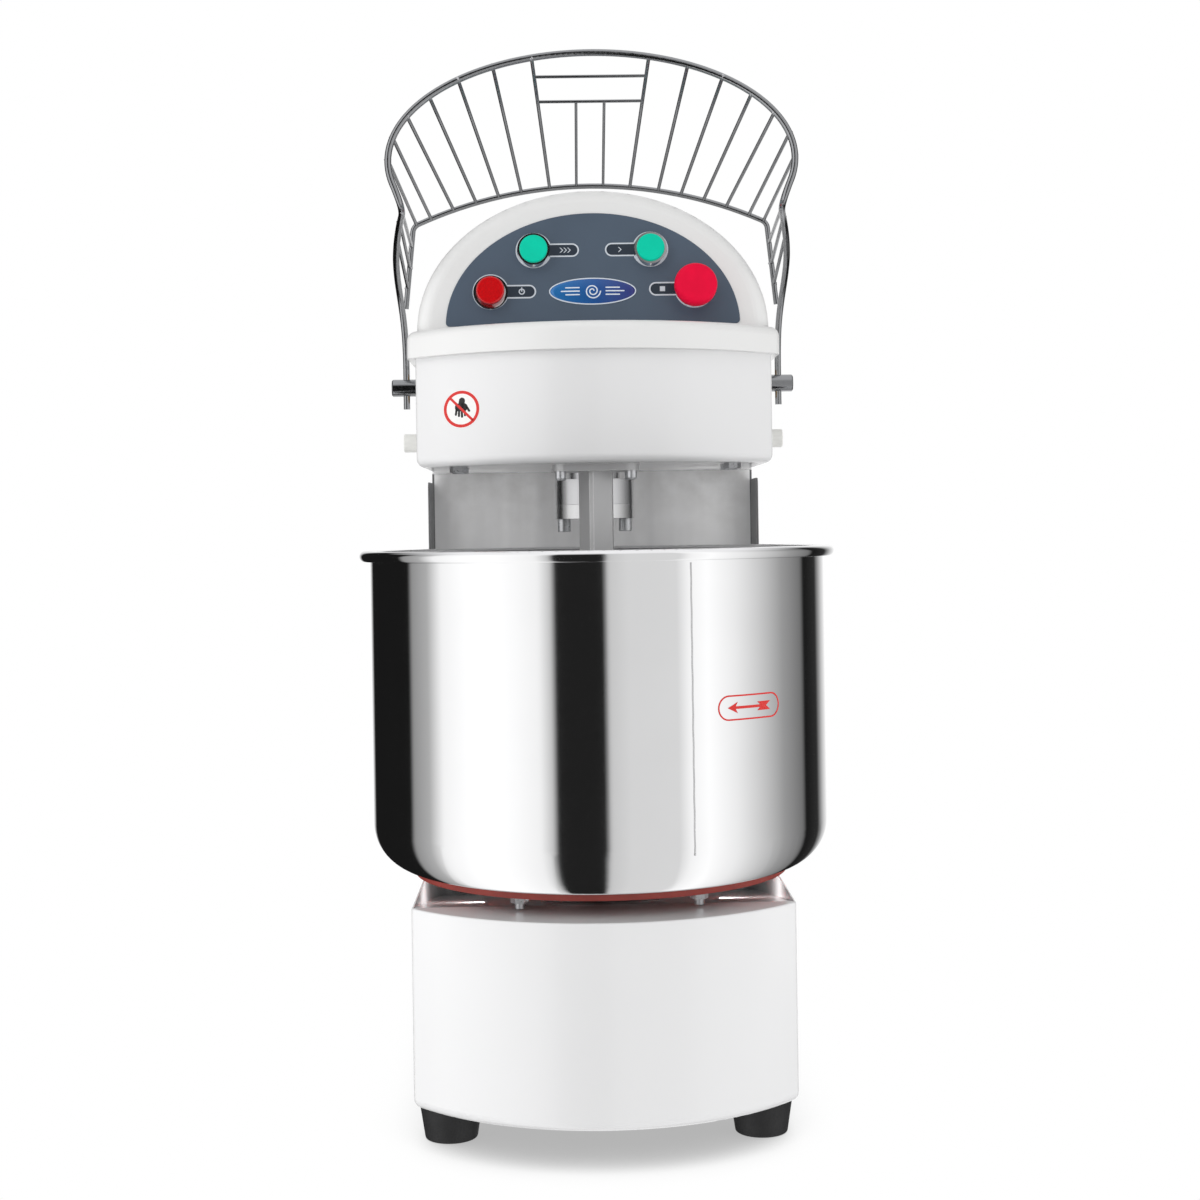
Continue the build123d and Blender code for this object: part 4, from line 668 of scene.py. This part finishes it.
def badge_emblem():
    """A plain spiral between two groups of three bars, the middle bar the longest."""
    shapes = [[spiral_loop((0, 0), 2.0, 3.0 * MM, 1.1 * MM)]]
    for side in (-1, 1):
        for row, reach in ((3.2, 24), (0, 28), (-3.2, 24)):
            start, end = (side * 12 * MM, row * MM), (side * reach * MM, row * MM)
            shapes.append([capsule(*sorted((start, end)), 0.55 * MM)])
    return shapes


def make_badge():
    """Domed lens with a silver border and a plain emblem."""
    def around(u, v, lift):
        return on_face(BADGE_CENTRE[0] + u, BADGE_CENTRE[1] + v, lift)

    def on_dome(u, v, lift):
        return badge_surface(u, v, 0.28 * MM + lift)

    piece("badge_lens", badge_dome(), badge_blue(), "frame", smooth=True)
    border = band(oval((0, 0), *BADGE_HALF), BADGE_BORDER)
    silver = print_ink("badge_silver", srgb(214, 222, 232))
    laid("badge_border", [border], 0.55 * MM, around, silver, "frame")
    laid("badge_emblem", badge_emblem(), 0.1 * MM, on_dome, INK_EMBLEM, "frame", cell=2 * MM)


make_badge()

# ---------------------------------------------------------------- stickers on the head and the bowl

def search_tree(node):
    """A node's surface, ready for rays and nearest points."""
    mesh = NODES[node].data
    return BVHTree.FromPolygons([v.co for v in mesh.vertices], [p.vertices for p in mesh.polygons])


def caster(node):
    """Finds a node's surface along a ray: gives the point and its outward normal."""
    tree = search_tree(node)

    def hit(origin, direction):
        point, normal, _, _ = tree.ray_cast(origin, direction)
        if normal.dot(direction) > 0:
            normal = -normal
        return point, normal
    return hit


RAY_START = 100 * MM


def head_front():
    """Surface function for stickers on the front of the head, seen straight from the front."""
    hit = caster("head_casing")
    start_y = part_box("head_casing")[0].y - RAY_START

    def surface(u, v, lift):
        point, normal = hit(Vector((u, start_y, v)), Vector((0, 1, 0)))
        return point + normal * lift
    return surface


def hand(centre, scale):
    """A plain hand with its fingers down, as overlapping round-ended bars: palm, wrist, fingers, thumb."""
    u, v = centre
    palm = ((-2.2, 1.5), (2.0, 1.5), 3.4)
    wrist = ((0, 3), (0.6, 7), 2.6)
    thumb = ((4.2, 2.2), (6.6, -1.6), 1.0)
    fingers = [((root, 0), (root * 1.15, -6.5 + abs(root) * 0.5), 0.95) for root in (-4.2, -1.9, 0.4, 2.7)]
    shapes = []
    for first, second, radius in [palm, wrist] + fingers + [thumb]:
        ends = [(u + x * scale, v + y * scale) for x, y in (first, second)]
        shapes.append([capsule(*ends, radius * scale)])
    return shapes


SIGN_R = 16.5 * MM
SIGN_CENTRE = (-117 * MM, 618 * MM)
SIGN_LINE = 2.6 * MM
SIGN_SLOPE = math.radians(135)
SIGN_EDGE = 0.4 * MM
SLASH_HALF = 1.1 * MM
HAND_SCALE = 1.05 * MM
BENT_CELL = 3 * MM


def make_sign():
    """Generic round prohibition sign: red ring and slash over a plain dark hand."""
    surface = head_front()
    reach = SIGN_R - SIGN_LINE
    slash = [(SIGN_CENTRE[0] + side * reach * math.cos(SIGN_SLOPE),
              SIGN_CENTRE[1] + side * reach * math.sin(SIGN_SLOPE)) for side in (-1, 1)]
    ring_r = SIGN_R - SIGN_LINE / 2 - SIGN_EDGE
    red = [band(oval(SIGN_CENTRE, ring_r, ring_r), SIGN_LINE), [capsule(*slash, SLASH_HALF)]]
    for name, shapes, thickness, ink in (
            ("sign_ground", [[oval(SIGN_CENTRE, SIGN_R, SIGN_R)]], 0.10 * MM, STICKER_WHITE),
            ("sign_hand", hand(SIGN_CENTRE, HAND_SCALE), 0.14 * MM, INK_BLACK),
            ("sign_ring", red, 0.18 * MM, INK_RED)):
        laid(name, shapes, thickness, surface, ink, "frame", BENT_CELL)


make_sign()

ARROW_ANGLE = math.radians(37)
ARROW_Z = 366 * MM
ARROW_HALF = (33.5 * MM, 10.5 * MM)
ARROW_EDGE = 0.9 * MM
ARROW_LINE = 1.3 * MM


def on_bowl(angle, height):
    """Surface function for things on the bowl's wall around an angle from the front, toward +X."""
    def surface(u, v, lift):
        turn = angle + u / BOWL_RADIUS
        out = Vector((math.sin(turn), -math.cos(turn), 0))
        return Vector((BOWL_AXIS.x, BOWL_AXIS.y, height + v)) + out * (BOWL_RADIUS + lift)
    return surface


def arrow_outline():
    """A flighted arrow that points to -u: its lower half from tip to tail, then the same half mirrored."""
    shaft = 1.1 * MM
    tip, barb = -24 * MM, 4.6 * MM
    tail, notch, flight = 22 * MM, 5 * MM, 3.6 * MM
    half = [(tip + 10 * MM, barb), (tip + 8 * MM, shaft), (tail - 12 * MM, shaft),
            (tail - 15 * MM, flight), (tail, flight)]
    lower = [(u, -v) for u, v in half]
    return [(tip, 0)] + lower + [(tail - notch, 0)] + half[::-1]


def make_arrow_sticker():
    """Rounded outline with a plain arrow that shows which way the bowl turns."""
    end = ARROW_HALF[0] - ARROW_HALF[1]
    border = capsule((-end, 0), (end, 0), ARROW_HALF[1] - ARROW_EDGE)
    shapes = [band(border, ARROW_LINE), [arrow_outline()]]
    laid("arrow_print", shapes, 0.12 * MM, on_bowl(ARROW_ANGLE, ARROW_Z), INK_RED, "bowl",
         cell=2.5 * MM)


make_arrow_sticker()

# ---------------------------------------------------------------- welds

def weld_metal():
    """Bright, slightly rippled fused steel."""
    made, tree, surface = material("weld_metal")
    ripple = tree.noise(0.9 * MM, detail=3)
    tree.put(surface.inputs["Metallic"], 1.0)
    tones = (0.5, 0.5, 0.52, 1), (0.72, 0.72, 0.74, 1)
    tree.put(surface.inputs["Base Color"], tree.mix(tree.spread(ripple, 0, 1), *tones))
    tree.put(surface.inputs["Roughness"], tree.spread(ripple, 0.16, 0.34))
    tree.put(surface.inputs["Normal"], tree.bump(ripple, 0.05 * MM))
    return made


SEAM_ANGLE = math.radians(21)
SEAM_FOOT = 34 * MM
SEAM_HALF = 0.7 * MM
SEAM_STEPS = 60


def make_bowl_seam():
    """Planished vertical weld line where the bowl's wall was closed."""
    wall_low = TURNTABLE_TOP + SEAM_FOOT
    wall_high = BOWL_TOP - RIM_ROLL
    loop = []
    for side in (1, -1):
        for i in range(SEAM_STEPS + 1):
            share = i / SEAM_STEPS if side > 0 else 1 - i / SEAM_STEPS
            wobble = 0.12 * MM * math.sin(share * 55)
            loop.append((side * SEAM_HALF + wobble, (wall_high - wall_low) * share))
    laid("bowl_seam", [[loop]], 0.06 * MM, on_bowl(SEAM_ANGLE, wall_low), FINISHES["bar_steel"], "bowl")


make_bowl_seam()


def loose_parts(node):
    """The separate solids of a node, as lists of points."""
    mesh = bmesh.new()
    mesh.from_mesh(NODES[node].data)
    bmesh.ops.remove_doubles(mesh, verts=mesh.verts[:], dist=1e-6)
    left = set(mesh.verts)
    parts = []
    while left:
        part, edge = [], [left.pop()]
        while edge:
            vertex = edge.pop()
            part.append(vertex.co.copy())
            for link in vertex.link_edges:
                other = link.other_vert(vertex)
                if other in left:
                    left.remove(other)
                    edge.append(other)
        parts.append(part)
    mesh.free()
    return parts


def far_ends(points):
    """Middles of the two ends of a long thin solid."""
    first = max(points, key=lambda p: (p - points[0]).length)
    second = max(points, key=lambda p: (p - first).length)
    ends = []
    for tip in (first, second):
        near = [p for p in points if (p - tip).length < 4 * MM]
        ends.append(sum(near, Vector()) / len(near))
    return ends


BEAD_R = 2.1 * MM


def make_guard_welds():
    """A small uneven bead where each straight wire of the guard meets the wire it is welded to."""
    beads = bmesh.new()
    wires = [search_tree(node) for node in ("guard_outer_wire", "guard_inner_hoop")]
    for part in loose_parts("guard_bars"):
        for end in far_ends(part):
            found = min((wire.find_nearest(end) for wire in wires), key=lambda hit: hit[3])
            place = end.lerp(found[0], 0.4)
            bead = bmesh.ops.create_icosphere(beads, subdivisions=3, radius=BEAD_R)
            for vertex in bead["verts"]:
                swell = 1 + 0.10 * math.sin(vertex.co.x * 2600) * math.cos(vertex.co.z * 1900)
                vertex.co = place + vertex.co * swell
    piece("guard_weld_beads", beads, weld_metal(), "guard", smooth=True)


make_guard_welds()

# ---------------------------------------------------------------- plain rating plate at the back

PLATE_HALF = (35 * MM, 20 * MM)
PLATE_CORNER = 3 * MM
PLATE_LEVEL = 0.86
PLATE_THICKNESS = 0.8 * MM
RULE_HALF = 26 * MM
RULE_STEP = 6 * MM
RIVET_OUT = 30.5 * MM
RIVET_R = 1.6 * MM


def rear_face():
    """Surface function for things on the rear cover, seen straight from behind."""
    hit = caster("rear_cover")
    low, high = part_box("rear_cover")
    centre = Vector(((low.x + high.x) / 2, high.y + RAY_START, low.z + (high.z - low.z) * PLATE_LEVEL))

    def surface(u, v, lift):
        point, normal = hit(centre + Vector((-u, 0, v)), Vector((0, -1, 0)))
        return point + normal * lift
    return surface


def rounded_plate():
    """Outline of the rating plate, one rounded corner after another."""
    outline = []
    for quarter, (side_u, side_v) in enumerate(((1, 1), (-1, 1), (-1, -1), (1, -1))):
        start = quarter * math.pi / 2
        centre = side_u * (PLATE_HALF[0] - PLATE_CORNER), side_v * (PLATE_HALF[1] - PLATE_CORNER)
        outline += arc(centre, PLATE_CORNER, start, start + math.pi / 2, 6)
    return outline


def make_rating_plate():
    """Blank anodised plate with engraved rules and two rivets, on the rear cover."""
    rules = []
    for row in range(5):
        level = PLATE_HALF[1] - 8 * MM - row * RULE_STEP
        end = RULE_HALF - 9 * MM * (row % 2)
        rules.append([capsule((-RULE_HALF, level), (end, level), 0.35 * MM, 6)])
    rivets = [[oval((side * RIVET_OUT, 0), RIVET_R, RIVET_R, 28)] for side in (-1, 1)]
    surface = rear_face()
    for name, shapes, thickness, finish in (
            ("rating_plate", [[rounded_plate()]], PLATE_THICKNESS, FINISHES["plate_steel"]),
            ("rating_plate_rules", rules, PLATE_THICKNESS + 0.06 * MM, INK_BLACK),
            ("rating_plate_rivets", rivets, 2 * PLATE_THICKNESS, FINISHES["zinc_steel"])):
        laid(name, shapes, thickness, surface, finish, "frame")


make_rating_plate()

# ---------------------------------------------------------------- studio

# Brightness of the studio as polished metal sees it, by the direction a reflection leaves in: degrees
# from straight front, positive toward +X. Black cards make the dark bands, soft boxes the bright ones.
STUDIO_BANDS = (
    (-180, 1.00), (-166, 0.70), (-158, 0.01), (-109, 0.01), (-106, 0.30), (-94, 0.45), (-84, 1.00),
    (-60, 1.20), (-42, 1.08), (-30, 0.98), (-24, 0.60), (-21, 0.015), (2, 0.015), (4.5, 0.62), (14, 0.72),
    (38, 0.74), (44, 1.00), (54, 1.12), (70, 0.92), (85, 0.66), (103, 0.34), (120, 0.18), (124, 0.01),
    (140, 0.03), (152, 0.60), (166, 1.00), (180, 1.00),
)
# Brightness as matt surfaces see it: a little more light from the left front than from the right.
STUDIO_FILL = ((-180, 0.60), (-100, 0.74), (-50, 0.97), (0, 1.08), (60, 0.64), (120, 0.40), (180, 0.60))
CEILING = (0.95, 0.95, 0.96, 1)
WHITE = (1, 1, 1, 1)


def brightness_ramp(tree, share, stops):
    """Grey ramp over a full turn, from stops given in degrees."""
    ramp = tree.add("ValToRGB", {"Fac": share})
    elements = ramp.color_ramp.elements
    while len(elements) > 1:
        elements.remove(elements[-1])
    for i, (degrees, value) in enumerate(stops):
        place = degrees / 360 + 0.5
        element = elements[0] if i == 0 else elements.new(place)
        element.position = place
        element.color = (value, value, value, 1)
    return ramp.outputs[0]


def make_world():
    """White surround for the camera, banded studio for reflections, soft fill for matt surfaces."""
    world = bpy.data.worlds.new("studio")
    bpy.context.scene.world = world
    world.use_nodes = True
    tree = Tree(world.node_tree)
    tree.nodes.clear()
    way = tree.add("SeparateXYZ", {0: tree.add("TexCoord").outputs["Generated"]}).outputs
    forward = tree.math("MULTIPLY", way[1], -1.0)
    turn = tree.math("ARCTAN2", way[0], forward)
    share = tree.add("MapRange", {"Value": turn, "From Min": -math.pi, "From Max": math.pi}).outputs[0]
    bands = brightness_ramp(tree, share, STUDIO_BANDS)
    fill = brightness_ramp(tree, share, STUDIO_FILL)
    above = tree.add("MapRange", {"Value": way[2], "From Min": 0.45, "From Max": 0.8}).outputs[0]
    bands = tree.mix(above, bands, CEILING)
    path = tree.add("LightPath").outputs
    seen = tree.mix(path["Is Glossy Ray"], fill, bands)
    seen = tree.mix(path["Is Camera Ray"], seen, WHITE)
    light = tree.add("Background", {"Color": seen, "Strength": 1.0})
    target = tree.add("OutputWorld")
    tree.links.new(light.outputs[0], target.inputs[0])
    world.cycles.sampling_method = "NONE"


FLOOR_HALF = 12
CONTACT_REACH = 110 * MM


def make_floor():
    """Pale glowing floor whose only shading is a painted contact shade, from ambient occlusion, around what
    stands on it.
    """
    mesh = bmesh.new()
    bmesh.ops.create_grid(mesh, x_segments=8, y_segments=8, size=FLOOR_HALF)
    data = bpy.data.meshes.new("floor")
    mesh.to_mesh(data)
    mesh.free()
    floor = bpy.data.objects.new("floor", data)
    bpy.context.scene.collection.objects.link(floor)
    made, tree, _ = material("floor")
    tree.nodes.clear()
    # Painted contact shadow: the floor's glow is dimmed where ambient occlusion finds the machine close by.
    openness = tree.add("AmbientOcclusion", {"Distance": CONTACT_REACH}, samples=16).outputs["AO"]
    inputs = {"Value": openness, "From Min": 0.05, "From Max": 0.72, "To Min": 0.45, "To Max": 1.0}
    shade = tree.add("MapRange", inputs, interpolation_type="SMOOTHSTEP").outputs[0]
    painted_glow = tree.add("Emission", {"Color": WHITE, "Strength": shade})
    tree.links.new(painted_glow.outputs[0], tree.add("OutputMaterial").inputs[0])
    data.materials.append(made)
    floor.visible_glossy = False


# Studio lamps: name, place, diameter and power in watts. All of them look at the machine's middle.
STUDIO_LAMPS = (
    ("key", (-1.6, -1.9, 2.1), 1.4, 8),
    ("rim", (1.9, 0.6, 1.9), 1.2, 5),
    ("low_left", (-0.9, -0.2, 0.12), 0.5, 3),
    ("low_right", (0.9, -0.2, 0.12), 0.5, 3),
)
# Hidden lamps, one of each kind on each side of the machine. Gap lamps stand in the tray and are
# measured from the front and the top of the base; sheet lamps, from the back and the top of the
# splash cover. All are measured sideways from the middle of the machine.
GAP_OUT, GAP_BACK, GAP_DOWN = 105 * MM, 190 * MM, 14 * MM
GAP_SIZE, GAP_WATTS = 16 * MM, 0.08
SHEET_OUT, SHEET_AHEAD, SHEET_DOWN = 112 * MM, 115 * MM, 38 * MM
SHEET_SIZE, SHEET_WATTS = 60 * MM, 0.023


def disk_lamp(name, place, heading, size, power):
    """Soft round lamp that lights matt surfaces and has no mirror image."""
    data = bpy.data.lights.new(name, "AREA")
    data.shape = "DISK"
    data.size = size
    data.energy = power
    lamp = bpy.data.objects.new(name, data)
    bpy.context.scene.collection.objects.link(lamp)
    lamp.location = place
    lamp.rotation_euler = heading.to_track_quat("-Z", "Y").to_euler()
    lamp.visible_glossy = False
    return lamp


def make_hidden_lamps():
    """Lamps under the turntable light the tray's side walls, and lamps under the head the splash cover."""
    tray_low, tray_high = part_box("base_casing")
    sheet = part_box("splash_cover")[1]
    for side in (-1, 1):
        under = (side * GAP_OUT, tray_low.y + GAP_BACK, tray_high.z - GAP_DOWN)
        front = (side * SHEET_OUT, sheet.y - SHEET_AHEAD, sheet.z - SHEET_DOWN)
        hidden = (disk_lamp("gap", under, Vector((side, 0, -0.1)), GAP_SIZE, GAP_WATTS),
                  disk_lamp("sheet", front, Vector((0, 1, 0)), SHEET_SIZE, SHEET_WATTS))
        for lamp in hidden:
            lamp.visible_camera = False


def make_lights():
    """Soft key from the upper left front, a weaker one from the upper right, and low fill at the sides."""
    low, high = CAD_BOX
    aim = (low + high) / 2
    for name, place, size, power in STUDIO_LAMPS:
        disk_lamp(name, place, aim - Vector(place), size, power)
    make_hidden_lamps()


CAMERA_DISTANCE = 1.725
CAMERA_HEIGHT = 0.510
CAMERA_LENS = 58.2
CAMERA_SHIFT = (0.003, -0.058)
CAMERA_ROLL = math.radians(0.85)
CAMERA_YAW = math.radians(-0.9)


def make_camera():
    """Camera in front of the machine, a little above the bowl's rim: it looks level, slightly rolled."""
    data = bpy.data.cameras.new("camera")
    data.lens = CAMERA_LENS
    data.sensor_width = 36
    data.shift_x, data.shift_y = CAMERA_SHIFT
    camera = bpy.data.objects.new("camera", data)
    bpy.context.scene.collection.objects.link(camera)
    away = Vector((math.sin(CAMERA_YAW), -math.cos(CAMERA_YAW), 0)) * CAMERA_DISTANCE
    camera.location = (BOWL_AXIS.x + away.x, BOWL_AXIS.y + away.y, CAMERA_HEIGHT)
    level = Matrix.Rotation(CAMERA_YAW, 4, "Z") @ Matrix.Rotation(math.pi / 2, 4, "X")
    camera.rotation_euler = (level @ Matrix.Rotation(-CAMERA_ROLL, 4, "Z")).to_euler()
    bpy.context.scene.camera = camera


make_world()
make_floor()
make_lights()
make_camera()
bpy.context.scene.view_settings.view_transform = "Standard"
